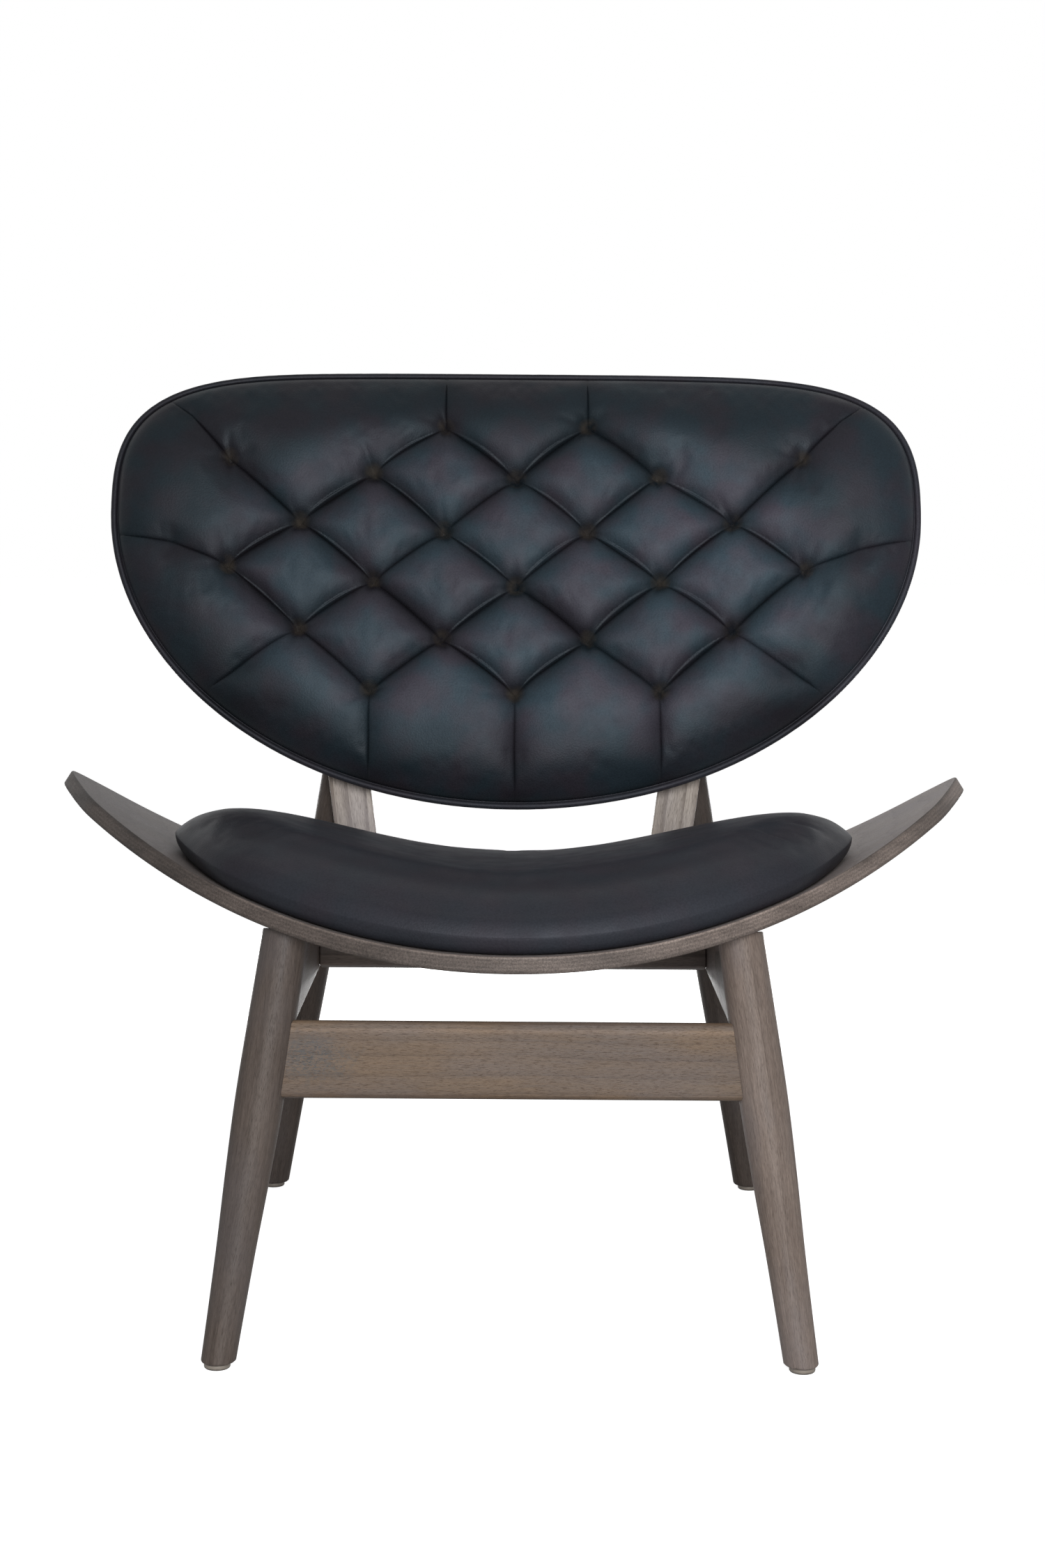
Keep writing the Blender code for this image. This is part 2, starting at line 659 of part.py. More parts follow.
def make_apron(rails, trimmer):
    """A board between the side rails, reclined like the posts that are screwed to it."""
    middle_n = REAR_DEPTH - APRON_THICKNESS / 2
    front_y, _ = recline_point(REAR_DEPTH - APRON_THICKNESS, APRON_LOW_V)
    half = RAIL_INNER_FRONT_X + RAIL_TOE * (front_y - RAIL_FRONT.y) - GAP
    mesh = box_mesh("rear_apron", (2 * half, APRON_THICKNESS, APRON_BOX_HEIGHT))
    place = Matrix.Translation((0, middle_n, APRON_LOW_V + APRON_BOX_HEIGHT / 2))
    apron = add_part("rear_apron", mesh, WOOD, recline_frame, place)
    ease_edges(apron, EDGE_EASE)
    boolean(apron, trimmer)
    size = (2 * APRON_TENON_LENGTH, TENON_THICKNESS, APRON_TENON_HEIGHT)
    middle_v = APRON_LOW_V + APRON_THICKNESS + APRON_TENON_HEIGHT / 2
    for word, side in SIDES.items():
        at = Matrix.Translation((side * half, middle_n, middle_v))
        tenon(apron, rails[word], f"rear_apron_{word}", size, at)
    return apron


def post_x(v):
    """X of the right post's middle line."""
    return POST_X + math.tan(POST_SPLAY) * v


def post_mesh(name, length):
    """A flat outline with round top corners, extruded to the post's thickness."""
    half, corner = POST_WIDTH / 2, POST_CORNER
    points = [(-half, -length / 2), (half, -length / 2)]
    for centre, start in ((half - corner, 0), (corner - half, math.pi / 2)):
        for step in range(CORNER_STEPS + 1):
            turn = start + step * math.pi / 2 / CORNER_STEPS
            points.append((centre + corner * math.cos(turn),
                           length / 2 - corner + corner * math.sin(turn)))
    outline = bpy.data.curves.new(name, "CURVE")
    outline.dimensions = "2D"
    outline.fill_mode = "BOTH"
    outline.extrude = POST_THICKNESS / 2
    spline = outline.splines.new("POLY")
    spline.points.add(len(points) - 1)
    for point, (x, y) in zip(spline.points, points):
        point.co = (x, y, 0, 1)
    spline.use_cyclic_u = True
    holder = bpy.data.objects.new(name + "_outline", outline)
    chair.objects.link(holder)
    mesh = plain_mesh(holder)
    bpy.data.objects.remove(holder)
    return mesh


def make_post(name, side):
    """A flat board up from the apron to the back of the backrest, splaying outwards."""
    middle_v = (POST_LOW_V + POST_HIGH_V) / 2
    at = (post_x(middle_v) * side, POST_FRONT + POST_THICKNESS / 2, middle_v)
    place = (Matrix.Translation(at) @ Matrix.Rotation(POST_SPLAY * side, 4, "Y")
             @ Matrix.Rotation(math.pi / 2, 4, "X"))
    mesh = post_mesh(name, (POST_HIGH_V - POST_LOW_V) / math.cos(POST_SPLAY))
    post = add_part(name, mesh, WOOD, recline_frame, place)
    ease_edges(post, EDGE_EASE)
    return post


def make_leg_flat(rear_legs):
    """Cuts the front of each rear leg's top flat behind its post."""
    wide, deep, tall = 4 * REAR_LEG_TOP.x, 4 * LEG_RADIUS, 2 * POST_HIGH_V
    place = Matrix.Translation((0, POST_REAR + GAP - deep / 2, tall / 2 - POST_WIDTH))
    flat = add_part("leg_flat", box_mesh("leg_flat", (wide, deep, tall)), WOOD, recline_frame, place)
    as_cutter(flat)
    for leg in rear_legs:
        boolean(leg, flat)


# Backrest

def back_outline():
    """The backrest's rim seen square on, anticlockwise from its lowest point."""
    turn = np.linspace(0, 2 * math.pi, OUTLINE_SAMPLES, endpoint=False)
    across, up = np.sin(turn), -np.cos(turn)
    side_power = np.where(up > 0, BACK_UPPER_SIDE_POWER, 1)
    top_power = np.where(up > 0, BACK_UPPER_TOP_POWER, 1)
    height = np.where(up > 0, BACK_UPPER_HEIGHT, BACK_LOWER_HEIGHT)
    x = BACK_HALF_WIDTH * np.sign(across) * np.abs(across) ** side_power
    v = BACK_LOWER_HEIGHT + height * np.sign(up) * np.abs(up) ** top_power
    return even_outline(np.column_stack([x, v]), RIM_POINTS)


def wrap(x):
    """How far the sides of the backrest come forward at x."""
    past = np.maximum(0, np.abs(x) - WRAP_START) / (BACK_HALF_WIDTH - WRAP_START)
    return WRAP_DEPTH * past ** 2


RIM = back_outline()
BODY_RIM = inset_outline(RIM, 2 * WELT_RADIUS + GAP)
FOAM_RIM = inset_outline(BODY_RIM, SKIN_DEPTH)


def tuft_point(column, row):
    """A place on the diamond lattice, bowed up towards the sides."""
    x = column * TUFT_PITCH_X
    return np.array([x, TUFT_BASE_V + row * TUFT_PITCH_V + TUFT_BOW_HEIGHT * (x / TUFT_BOW_HALF) ** 2])


TUFTS = sorted((column, row) for row, columns in TUFT_ROWS.items() for column in columns)
CREASES = [((column, row), (column + step, row + 1)) for column, row in TUFTS for step in (-1, 1)
           if (column + step, row + 1) in TUFTS]


def front_depth(points):
    """How far the tufted face stands forward of its edge, at points seen square on."""
    edge = outline_distance(points, FOAM_RIM)
    roll = np.clip(edge / FRONT_ROLL, 0, 1)
    crown = FRONT_CROWN * np.sqrt(1 - (1 - roll) ** 2)
    grooves = [(start, end, CREASE_DEPTH) for start, end in CREASES]
    for start, end in RIM_CREASES:
        for side in (-1, 1):
            ends = [(side * column, row) for column, row in (start, end)]
            grooves.append((*ends, RIM_CREASE_DEPTH))
    dip = np.zeros(len(points))
    for start, end, depth in grooves:
        away = segment_distance(points, tuft_point(*start), tuft_point(*end))
        dip = np.maximum(dip, depth * np.exp(-(away / CREASE_REACH) ** 2))
    for place in TUFTS:
        away = np.linalg.norm(points - tuft_point(*place), axis=1)
        dip = np.maximum(dip, TUFT_DEPTH * np.exp(-(away / TUFT_REACH) ** 2))
    return crown - np.clip(2 * roll, 0, 1) * dip


def lattice_points(row_step):
    """Lattice places every half column, well inside the rim."""
    columns = math.ceil(BACK_HALF_WIDTH / TUFT_PITCH_X) * 2
    rows = math.ceil(BACK_LOWER_HEIGHT / TUFT_PITCH_V / row_step)
    steps = [(column / 2, row * row_step) for column in range(-columns, columns + 1)
             for row in range(-rows, rows + 1)]
    points = np.array([tuft_point(column, row) for column, row in steps])
    keep = inside_outline(points, FOAM_RIM) & (outline_distance(points, FOAM_RIM) > LATTICE_MARGIN)
    return [step for step, kept in zip(steps, keep) if kept], points[keep]


def filled(rings, row_step, creased=False):
    """Triangles over rings of points and a lattice inside them: points and faces."""
    steps, inner = lattice_points(row_step)
    points = np.vstack([*rings, inner])
    edges = []
    for ring in range(len(rings)):
        first = ring * RIM_POINTS
        edges += [(first + i, first + (i + 1) % RIM_POINTS) for i in range(RIM_POINTS)]
    if creased:
        index = {step: len(rings) * RIM_POINTS + i for i, step in enumerate(steps)}
        for start, end in CREASES:
            middle = ((start[0] + end[0]) / 2, (start[1] + end[1]) / 2)
            edges += [(index[a], index[b]) for a, b in ((start, middle), (middle, end))
                      if a in index and b in index]
    verts, _, faces, _, _, _ = delaunay_2d_cdt(
        [Vector(point) for point in points], edges, [list(range(RIM_POINTS))], 1, GAP / 10)
    return np.array([tuple(vert) for vert in verts]), [list(face) for face in faces]


def at_depth(points, depth):
    """Points of the reclined frame at a depth behind the rim, with the wrap added."""
    along = depth - wrap(points[:, 0])
    return [(x, n, v) for (x, v), n in zip(points, along)]


def surface_mesh(name, points, faces, depth):
    """An open surface through points at a depth behind the rim."""
    mesh = bpy.data.meshes.new(name)
    mesh.from_pydata(at_depth(points, depth), [], faces)
    return mesh


def solid_mesh(name, points, faces, near, far):
    """A closed solid between two depths over the same triangles."""
    count = len(points)
    directed = {(face[i - 1], face[i]) for face in faces for i in range(len(face))}
    solid = faces + [[i + count for i in reversed(face)] for face in faces]
    solid += [[b, a, a + count, b + count] for a, b in sorted(directed) if (b, a) not in directed]
    mesh = bpy.data.meshes.new(name)
    mesh.from_pydata(at_depth(points, near) + at_depth(points, far), [], solid)
    return mesh


def make_backrest():
    """Tufted cover and foam on a board, a padded rear cover, and a welt round the rim."""
    rings = [inset_outline(FOAM_RIM, inset) for inset in FRONT_RING_INSETS]
    points, faces = filled(rings, 1 / 2, creased=True)
    depth = -FRONT_EDGE_HEIGHT - front_depth(points)
    mesh = surface_mesh("backrest_front_cover", points, faces, depth)
    cover = add_part("backrest_front_cover", mesh, LEATHER, recline_frame)
    thicken(cover, COVER_THICKNESS, 1, FOAM_GAP)
    mesh = solid_mesh("backrest_foam", points, faces, depth, FOAM_REAR)
    add_part("backrest_foam", mesh, FOAM, recline_frame)

    rings = [inset_outline(FOAM_RIM, inset) for inset in BACK_BOARD_INSETS]
    points, faces = filled(rings, 3 / 2)
    mesh = solid_mesh("backrest_board", points, faces, BOARD_FRONT, BOARD_REAR)
    board = add_part("backrest_board", mesh, BARE_PLY, recline_frame)

    rings = [inset_outline(BODY_RIM, inset) for inset in REAR_RING_INSETS]
    points, faces = filled(rings, 3 / 2)
    depth = np.interp(outline_distance(points, BODY_RIM), REAR_RING_INSETS, REAR_RING_DEPTHS)
    mesh = surface_mesh("backrest_rear_cover", points, [face[::-1] for face in faces], depth)
    rear_cover = add_part("backrest_rear_cover", mesh, LEATHER, recline_frame)
    thicken(rear_cover, COVER_THICKNESS, -1)
    for part in (cover, rear_cover):
        smooth(part)
    make_welt()
    return board, rear_cover


def make_welt():
    """Leather piping round the rim, between the two covers."""
    path = bpy.data.curves.new("backrest_welt", "CURVE")
    path.dimensions = "3D"
    path.bevel_depth = WELT_RADIUS
    path.bevel_resolution = 2
    spline = path.splines.new("POLY")
    spline.points.add(RIM_POINTS - 1)
    for point, place in zip(spline.points, at_depth(inset_outline(RIM, WELT_RADIUS), 0)):
        point.co = (*place, 1)
    spline.use_cyclic_u = True
    add_part("backrest_welt", path, LEATHER, recline_frame)


# Fastenings: each stands on its head's seat, its shank along +Z

def bolt(name, place, reach, frame):
    """A bolt or screw with a round head."""
    profile = [(0, reach), (BOLT_RADIUS, reach), (BOLT_RADIUS, 0), (BOLT_HEAD_RADIUS, 0),
               (BOLT_HEAD_RADIUS, -BOLT_HEAD_HEIGHT), (0, -BOLT_HEAD_HEIGHT)]
    smooth(turned(name, profile, STEEL, frame, place))


def bore_for_bolt(name, place, reach, sink, frame, parts):
    """The bolt's hole through parts, wider for its head where that is sunk."""
    bore, wide = BOLT_RADIUS + GAP, BOLT_HEAD_RADIUS + BOLT_HEAD_CLEARANCE
    profile = [(0, reach), (bore, reach), (bore, GAP)]
    profile += [(wide, GAP), (wide, -sink), (0, -sink)] if sink else [(bore, -GAP * 2), (0, -GAP * 2)]
    cutter = as_cutter(turned(name + "_bore", profile, STEEL, frame, place))
    for part in parts:
        boolean(part, cutter)


def insert(name, place, length, frame, host):
    """A threaded sleeve along +Z from its place, in a hole right through its host."""
    inner = BOLT_RADIUS + GAP
    profile = [(INSERT_RADIUS, length), (INSERT_RADIUS, 0), (inner, 0), (inner, length)]
    turned(name, profile, STEEL, frame, place, ring=True)
    far = length + SHELL_THICKNESS
    profile = [(0, far), (INSERT_RADIUS + GAP, far), (INSERT_RADIUS + GAP, -SHELL_THICKNESS),
               (0, -SHELL_THICKNESS)]
    boolean(host, as_cutter(turned(name + "_hole", profile, STEEL, frame, place)))


def fasten_seat(shell, rails):
    """Screws up through each side rail into sleeves in the shell."""
    for side_word, side in SIDES.items():
        for word, along in SEAT_SCREW_PLACES.items():
            middle = rail_place(side) @ Matrix.Translation((0, along, 0))
            at = middle.translation
            rise = (shell_under(at.x, at.y) - at.z) / math.cos(SEAT_RAKE)
            sleeve = middle @ Matrix.Translation((0, 0, rise + INSERT_SINK))
            seat = middle @ Matrix.Translation((0, 0, rise - SEAT_SCREW_DROP))
            reach = SEAT_SCREW_DROP + INSERT_SINK + INSERT_LENGTH - BOLT_TIP_INSET
            tag = f"{word}_{side_word}"
            bolt(f"seat_screw_{tag}", seat, reach, floor_frame)
            bore_for_bolt(f"seat_screw_{tag}", seat, reach, RAIL_BOX_HEIGHT, floor_frame,
                          [rails[side_word]])
            insert(f"seat_insert_{tag}", sleeve, INSERT_LENGTH, floor_frame, shell)


def facing_forward(x, n, v):
    """A place of the reclined frame whose +Z points forward through the thickness."""
    return Matrix.Translation((x, n, v)) @ Matrix.Rotation(math.pi / 2, 4, "X")


def fasten_back(board, rear_cover, posts, legs):
    """Bolts from behind, through leg and post, into sleeves in the backrest's board."""
    upper_seat = POST_REAR + GAP
    lower_seat = POST_REAR + 2 * GAP + LOWER_BOLT_WOOD
    for side_word, side in SIDES.items():
        both = [posts[side_word], rear_cover]
        levels = {"upper": (UPPER_BOLT_V, upper_seat, 0, both),
                  "lower": (LOWER_BOLT_V, lower_seat, 2 * LEG_RADIUS, both + [legs[side_word]])}
        for word, (v, seat_n, sink, drilled) in levels.items():
            x = post_x(v) * side
            sleeve_n = BOARD_REAR - GAP - wrap(x)
            reach = seat_n - sleeve_n + INSERT_LENGTH - BOLT_TIP_INSET
            seat = facing_forward(x, seat_n, v)
            tag = f"{word}_{side_word}"
            bolt(f"back_bolt_{tag}", seat, reach, recline_frame)
            bore_for_bolt(f"back_bolt_{tag}", seat, reach, sink, recline_frame, drilled)
            insert(f"back_insert_{tag}", facing_forward(x, sleeve_n, v), INSERT_LENGTH,
                   recline_frame, board)


def fasten_apron(apron, posts):
    """Screws from behind, through the posts into the apron."""
    reach = POST_THICKNESS + 2 * GAP + APRON_SCREW_BITE
    for side_word, side in SIDES.items():
        for word, v in APRON_SCREW_PLACES.items():
            seat = facing_forward(post_x(v) * side, POST_REAR + GAP, v)
            name = f"apron_screw_{word}_{side_word}"
            bolt(name, seat, reach, recline_frame)
            bore_for_bolt(name, seat, reach + GAP, 0, recline_frame, [posts[side_word], apron])


# The chair

def centre_on_floor():
    """Moves the whole chair so that its box stands centred over the origin."""
    bpy.context.view_layer.update()
    depsgraph = bpy.context.evaluated_depsgraph_get()
    places = []
    for part in chair.objects:
        if part.type != "EMPTY":
            evaluated = part.evaluated_get(depsgraph)
            places += [part.matrix_world @ vert.co for vert in evaluated.to_mesh().vertices]
            evaluated.to_mesh_clear()
    low, high = np.min(places, axis=0), np.max(places, axis=0)
    middle = (low + high) / 2
    floor_frame.location = (-middle[0], -middle[1], -low[2])
    bpy.context.view_layer.update()


def on_side(point, side):
    """A point of the right half, on either side."""
    return Vector((point.x * side, point.y, point.z))


def build_chair():
    """All sub-parts of the chair, from the floor up."""
    trimmer = make_seat_trimmer()
    shell = make_seat_shell()
    front_legs, rear_legs, front_copers, rails, posts = {}, {}, {}, {}, {}
    for word, side in SIDES.items():
        pairs = {"front": (FRONT_FOOT, FRONT_LEG_TOP), "rear": (REAR_FOOT, REAR_LEG_TOP)}
        ends = {}
        for end, (foot, top) in pairs.items():
            foot, top = on_side(foot, side), on_side(top, side)
            leg = make_leg(f"{end}_leg_{word}", foot, top)
            make_glide(f"glide_{end}_{word}", foot, leg)
            ends[end] = (leg, make_coper(f"{end}_coper_{word}", foot, top))
        front_legs[word], front_copers[word] = ends["front"]
        rear_legs[word] = ends["rear"][0]
        rails[word] = make_side_rail(f"side_rail_{word}", side, ends, trimmer)
        boolean(front_legs[word], trimmer)
        posts[word] = make_post(f"back_post_{word}", side)
    make_stretcher(front_legs, front_copers, rails)
    make_leg_flat(rear_legs.values())
    apron = make_apron(rails, trimmer)
    make_seat_pad()
    board, rear_cover = make_backrest()
    fasten_seat(shell, rails)
    fasten_back(board, rear_cover, posts, rear_legs)
    fasten_apron(apron, posts)
    centre_on_floor()


build_chair()
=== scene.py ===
# %% [markdown]
# # A tufted lounge chair
#
# The chair has a bent plywood seat with wings, a smooth leather pad, a tufted leather backrest
# and turned wooden legs. The measured model comes packed as plain solids. This script dresses
# it: every piece that shows gets its real surface, and a studio and a camera are set up.
# Each step says what the piece is on the real chair, how it could be made, and why it is
# made this way.

import math
from contextlib import contextmanager

import bmesh
import bpy
import numpy as np
from mathutils import Matrix, Vector
from mathutils.geometry import delaunay_2d_cdt
from mathutils.kdtree import KDTree


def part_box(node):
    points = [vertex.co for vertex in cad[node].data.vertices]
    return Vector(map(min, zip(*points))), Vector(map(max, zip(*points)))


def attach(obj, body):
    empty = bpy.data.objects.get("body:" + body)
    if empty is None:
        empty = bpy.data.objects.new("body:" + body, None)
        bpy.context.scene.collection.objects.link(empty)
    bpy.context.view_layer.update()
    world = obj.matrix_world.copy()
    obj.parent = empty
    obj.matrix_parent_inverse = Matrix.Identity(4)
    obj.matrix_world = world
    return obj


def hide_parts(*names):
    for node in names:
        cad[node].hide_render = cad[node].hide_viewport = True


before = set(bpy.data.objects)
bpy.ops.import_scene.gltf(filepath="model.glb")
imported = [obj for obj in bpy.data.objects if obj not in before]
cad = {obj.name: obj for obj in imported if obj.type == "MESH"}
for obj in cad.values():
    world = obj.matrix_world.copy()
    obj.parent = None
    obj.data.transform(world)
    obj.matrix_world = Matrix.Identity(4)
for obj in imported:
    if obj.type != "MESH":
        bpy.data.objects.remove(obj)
bpy.context.view_layer.update()

# %% [markdown]
# ## The camera
#
# A camera could be placed by eye, but the feet of the chair fix it: their four places on the
# floor and in the photograph leave one position, tilt and lens. The picture is upright, so the
# sensor is fitted to its height. A small turn and roll put the chair where it is in the frame.

# %% Camera
CAMERA_PLACE = Vector((0.0, -2.4925, 0.786))
CAMERA_PITCH = math.radians(7.16)
CAMERA_TURN = math.radians(0.184)
CAMERA_ROLL = math.radians(0.45)
FOCAL_SHARE = 3738 / 2250
SENSOR_HEIGHT = 36.0


def in_scene(name, data):
    """A new object in the scene, for a mesh, a lens or a lamp."""
    made = bpy.data.objects.new(name, data)
    bpy.context.scene.collection.objects.link(made)
    return made


lens = bpy.data.cameras.new("photo_camera")
lens.sensor_fit = "VERTICAL"
lens.sensor_height = SENSOR_HEIGHT
lens.lens = FOCAL_SHARE * SENSOR_HEIGHT
lens.clip_end = 100.0
camera = in_scene("photo_camera", lens)
camera.matrix_world = (Matrix.Translation(CAMERA_PLACE)
                       @ Matrix.Rotation(-CAMERA_TURN, 4, "Z")
                       @ Matrix.Rotation(math.pi / 2 - CAMERA_PITCH, 4, "X")
                       @ Matrix.Rotation(CAMERA_ROLL, 4, "Z"))
bpy.context.scene.camera = camera
bpy.context.scene.view_settings.view_transform = "Standard"
print("lens", round(lens.lens, 1), "mm")

# %% [markdown]
# ## Small helpers
#
# Finishes are built from shader nodes. One helper adds a node and fills or links its inputs,
# so that a finish reads as a short list of steps.

# %% Node helpers
def add_node(tree, kind, inputs=None, **settings):
    """Adds a shader node, sets its settings, and links or fills its inputs."""
    made = tree.nodes.new("ShaderNode" + kind)
    for name, value in settings.items():
        setattr(made, name, value)
    for key, value in (inputs or {}).items():
        if isinstance(value, bpy.types.NodeSocket):
            tree.links.new(value, made.inputs[key])
        else:
            made.inputs[key].default_value = value
    return made


def calculate(tree, operation, first, second=0.5, third=0.5):
    """A Math node's result."""
    return add_node(tree, "Math", {0: first, 1: second, 2: third}, operation=operation).outputs[0]


def product(tree, first, *others):
    """Several values multiplied."""
    for value in others:
        first = calculate(tree, "MULTIPLY", first, value)
    return first


def spread(tree, value, low, high, to_low=0.0, to_high=1.0):
    """A value's range from low to high, mapped to another range and clamped."""
    made = add_node(tree, "MapRange", {"Value": value, "From Min": low, "From Max": high,
                                       "To Min": to_low, "To Max": to_high})
    return made.outputs["Result"]


def colour_mix(tree, share, first, second, blend="MIX"):
    """Mixes two colours."""
    made = add_node(tree, "Mix", data_type="RGBA", blend_type=blend)
    for name, value in (("Factor_Float", share), ("A_Color", first), ("B_Color", second)):
        socket = next(s for s in made.inputs if s.identifier == name)
        if isinstance(value, bpy.types.NodeSocket):
            tree.links.new(value, socket)
        else:
            socket.default_value = value
    return next(s for s in made.outputs if s.identifier == "Result_Color")


def shaded(tree, colour, *amounts):
    """A colour made lighter or darker by one value or more."""
    return colour_mix(tree, 1.0, colour, product(tree, *amounts), "MULTIPLY")


def noise(tree, vector, scale, detail=3.0, roughness=0.5, distortion=0.0):
    """A noise texture's value."""
    made = add_node(tree, "TexNoise", {"Vector": vector, "Scale": scale, "Detail": detail,
                                       "Roughness": roughness, "Distortion": distortion})
    return made.outputs[0]


def mapped(tree, vector, scale, place=(0, 0, 0), turn=(0, 0, 0)):
    """A vector scaled, turned and moved."""
    made = add_node(tree, "Mapping", {"Vector": vector, "Scale": scale, "Location": place,
                                      "Rotation": turn})
    return made.outputs[0]


def attribute(tree, name):
    """A value stored on the mesh's points."""
    return add_node(tree, "Attribute", attribute_name=name).outputs["Fac"]


def new_finish(name, roughness, specular=0.5):
    """A material with an empty Principled shader: material, its tree, and the shader."""
    material = bpy.data.materials.new(name)
    material.use_nodes = True
    tree = material.node_tree
    shader = tree.nodes["Principled BSDF"]
    shader.inputs["Roughness"].default_value = roughness
    shader.inputs["Specular IOR Level"].default_value = specular
    return material, tree, shader


def bumped(tree, shader, height, distance, strength):
    """Bump from a height value, put on the shader."""
    made = add_node(tree, "Bump", {"Height": height, "Distance": distance, "Strength": strength})
    tree.links.new(made.outputs[0], shader.inputs["Normal"])


# %% [markdown]
# Meshes are made from arrays of points. A piece is named, smoothed where it is round, given
# its finish and set on the chair's one body, and the plain solids it covers are hidden.

# %% Mesh helpers
def mesh_object(name, points, faces):
    """A mesh object from points and faces."""
    mesh = bpy.data.meshes.new(name)
    mesh.from_pydata([tuple(point) for point in points], [], [tuple(face) for face in faces])
    mesh.update()
    return in_scene(name, mesh)


def ring_edges(count):
    """Edges round a ring of points."""
    return [(i, (i + 1) % count) for i in range(count)]


def ring_faces(rings, sides, outward=True):
    """Faces over rings of points, closed by a point before the first and one after the last."""
    steps, last = ring_edges(sides), 1 + (rings - 1) * sides
    faces = [(first + i, first + j, first + sides + j, first + sides + i)
             for first in range(1, last, sides) for i, j in steps]
    faces += [(0, 1 + j, 1 + i) for i, j in steps]
    faces += [(last + sides, last + i, last + j) for i, j in steps]
    return faces if outward else [face[:1] + face[:0:-1] for face in faces]


@contextmanager
def edited(mesh):
    """Opens a mesh for editing, and writes it back afterwards."""
    bm = bmesh.new()
    bm.from_mesh(mesh)
    yield bm
    bm.to_mesh(mesh)
    bm.free()


def shade_round(piece, limit=40.0):
    """Smooth shading, with edges sharper than the limit kept sharp."""
    piece.data.shade_smooth()
    piece.data.set_sharp_from_angle(angle=math.radians(limit))


def store(piece, name, values):
    """Keeps a number for each point of the mesh, for its finish to read."""
    made = piece.data.attributes.new(name, "FLOAT", "POINT")
    made.data.foreach_set("value", np.asarray(values, dtype=np.float32))


def settle(piece):
    """Applies every modifier of a piece to its mesh."""
    bpy.context.view_layer.update()
    evaluated = piece.evaluated_get(bpy.context.evaluated_depsgraph_get())
    mesh = bpy.data.meshes.new_from_object(evaluated)
    old = piece.data
    piece.modifiers.clear()
    piece.data = mesh
    bpy.data.meshes.remove(old)
    return piece


def mount_piece(piece, finish, slot, *nodes):
    """Gives a piece its finish and its place on the chair. Its turn goes into its mesh."""
    piece.data.transform(piece.matrix_world)
    piece.matrix_world = Matrix()
    piece.data.materials.clear()
    piece.data.materials.append(finish)
    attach(piece, "root")
    if nodes:
        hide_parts(*nodes)
    print(piece.name, len(piece.data.vertices), "points")
    return piece


def finish_solids(finish, *nodes):
    """Gives plain solids that stay in the scene their finish."""
    for node in nodes:
        cad[node].data.materials.clear()
        cad[node].data.materials.append(finish)


# %% [markdown]
# ## The chair's own frames
#
# The solids were drawn round the feet and then centred over the origin, so all depths are
# moved by the same amount, which a glide's place gives. The backrest has a frame of its own
# that leans back: N runs back through its thickness and V up along it, from the lowest point
# of its rim.

# %% Frames
FRONT_FOOT = Vector((0.254, -0.283, 0.0))
glide_low, glide_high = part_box("glide_front_right")
SHIFT = (glide_low.y + glide_high.y) / 2 - FRONT_FOOT.y
RECLINE = math.radians(17.83)
RIM_BOTTOM = Vector((0, 0.200, 0.4245))
BACK_FRAME = (Matrix.Translation(RIM_BOTTOM + Vector((0, SHIFT, 0)))
              @ Matrix.Rotation(-RECLINE, 4, "X"))
print("depths move by", round(SHIFT, 5))


def placed(matrix, points):
    """Points moved by a matrix."""
    points = np.asarray(points, dtype=float)
    turned = np.array(matrix.to_3x3())
    return points @ turned.T + np.array(matrix.translation)


# %% [markdown]
# ## Outlines
#
# Both cushions start as outlines. The backrest's rim is half an ellipse below its widest line
# and a squarer curve above it. Points are spread evenly along a curve, and rings inside it
# are the curve moved in along its normals.

# %% Outline helpers
def even_outline(curve, count):
    """Points at equal steps along a closed curve given as many close points."""
    closed = np.vstack([curve, curve[:1]])
    lengths = np.concatenate([[0], np.cumsum(np.linalg.norm(np.diff(closed, axis=0), axis=1))])
    stops = np.linspace(0, lengths[-1], count, endpoint=False)
    return np.column_stack([np.interp(stops, lengths, closed[:, axis]) for axis in (0, 1)])


def inset_outline(curve, distance):
    """An anticlockwise outline moved in along its normals."""
    return curve - distance * outward_normals(curve)


def outward_normals(curve):
    """Unit normals that point out of an anticlockwise outline."""
    along = np.roll(curve, -1, axis=0) - np.roll(curve, 1, axis=0)
    along /= np.linalg.norm(along, axis=1)[:, None]
    return np.column_stack([along[:, 1], -along[:, 0]])


def segment_place(points, start, end):
    """Each point's share along a segment, unclamped, and its signed distance from its line."""
    run = end - start
    length = np.linalg.norm(run)
    offset = points - start
    share = offset @ run / length ** 2
    across = (offset[:, 1] * run[0] - offset[:, 0] * run[1]) / length
    return share, across


def segment_distance(points, start, end):
    """Distance from each point to a straight segment."""
    share, _ = segment_place(points, start, end)
    nearest = start + np.clip(share, 0, 1)[:, None] * (end - start)
    return np.linalg.norm(points - nearest, axis=1)


def outline_distance(points, curve):
    """Distance from each point to a closed outline."""
    best = np.full(len(points), np.inf)
    for start, end in zip(curve, np.roll(curve, -1, axis=0)):
        best = np.minimum(best, segment_distance(points, start, end))
    return best


def inside_outline(points, curve):
    """Which points lie inside a closed outline."""
    inside = np.zeros(len(points), dtype=bool)
    for (ax, ay), (bx, by) in zip(curve, np.roll(curve, -1, axis=0)):
        straddles = (ay > points[:, 1]) != (by > points[:, 1])
        crossing = ax + (points[:, 1] - ay) / (by - ay if by != ay else 1) * (bx - ax)
        inside ^= straddles & (crossing > points[:, 0])
    return inside


def even_field(curve, wide, low, high, step):
    """Points of a field of even triangles that lie inside a curve."""
    across = np.arange(-wide, wide, step)
    up = np.arange(low, high, step * math.sqrt(3) / 2)
    field = np.array([(x + step / 2 * (row % 2), y) for row, y in enumerate(up) for x in across])
    return field[inside_outline(field, curve)]


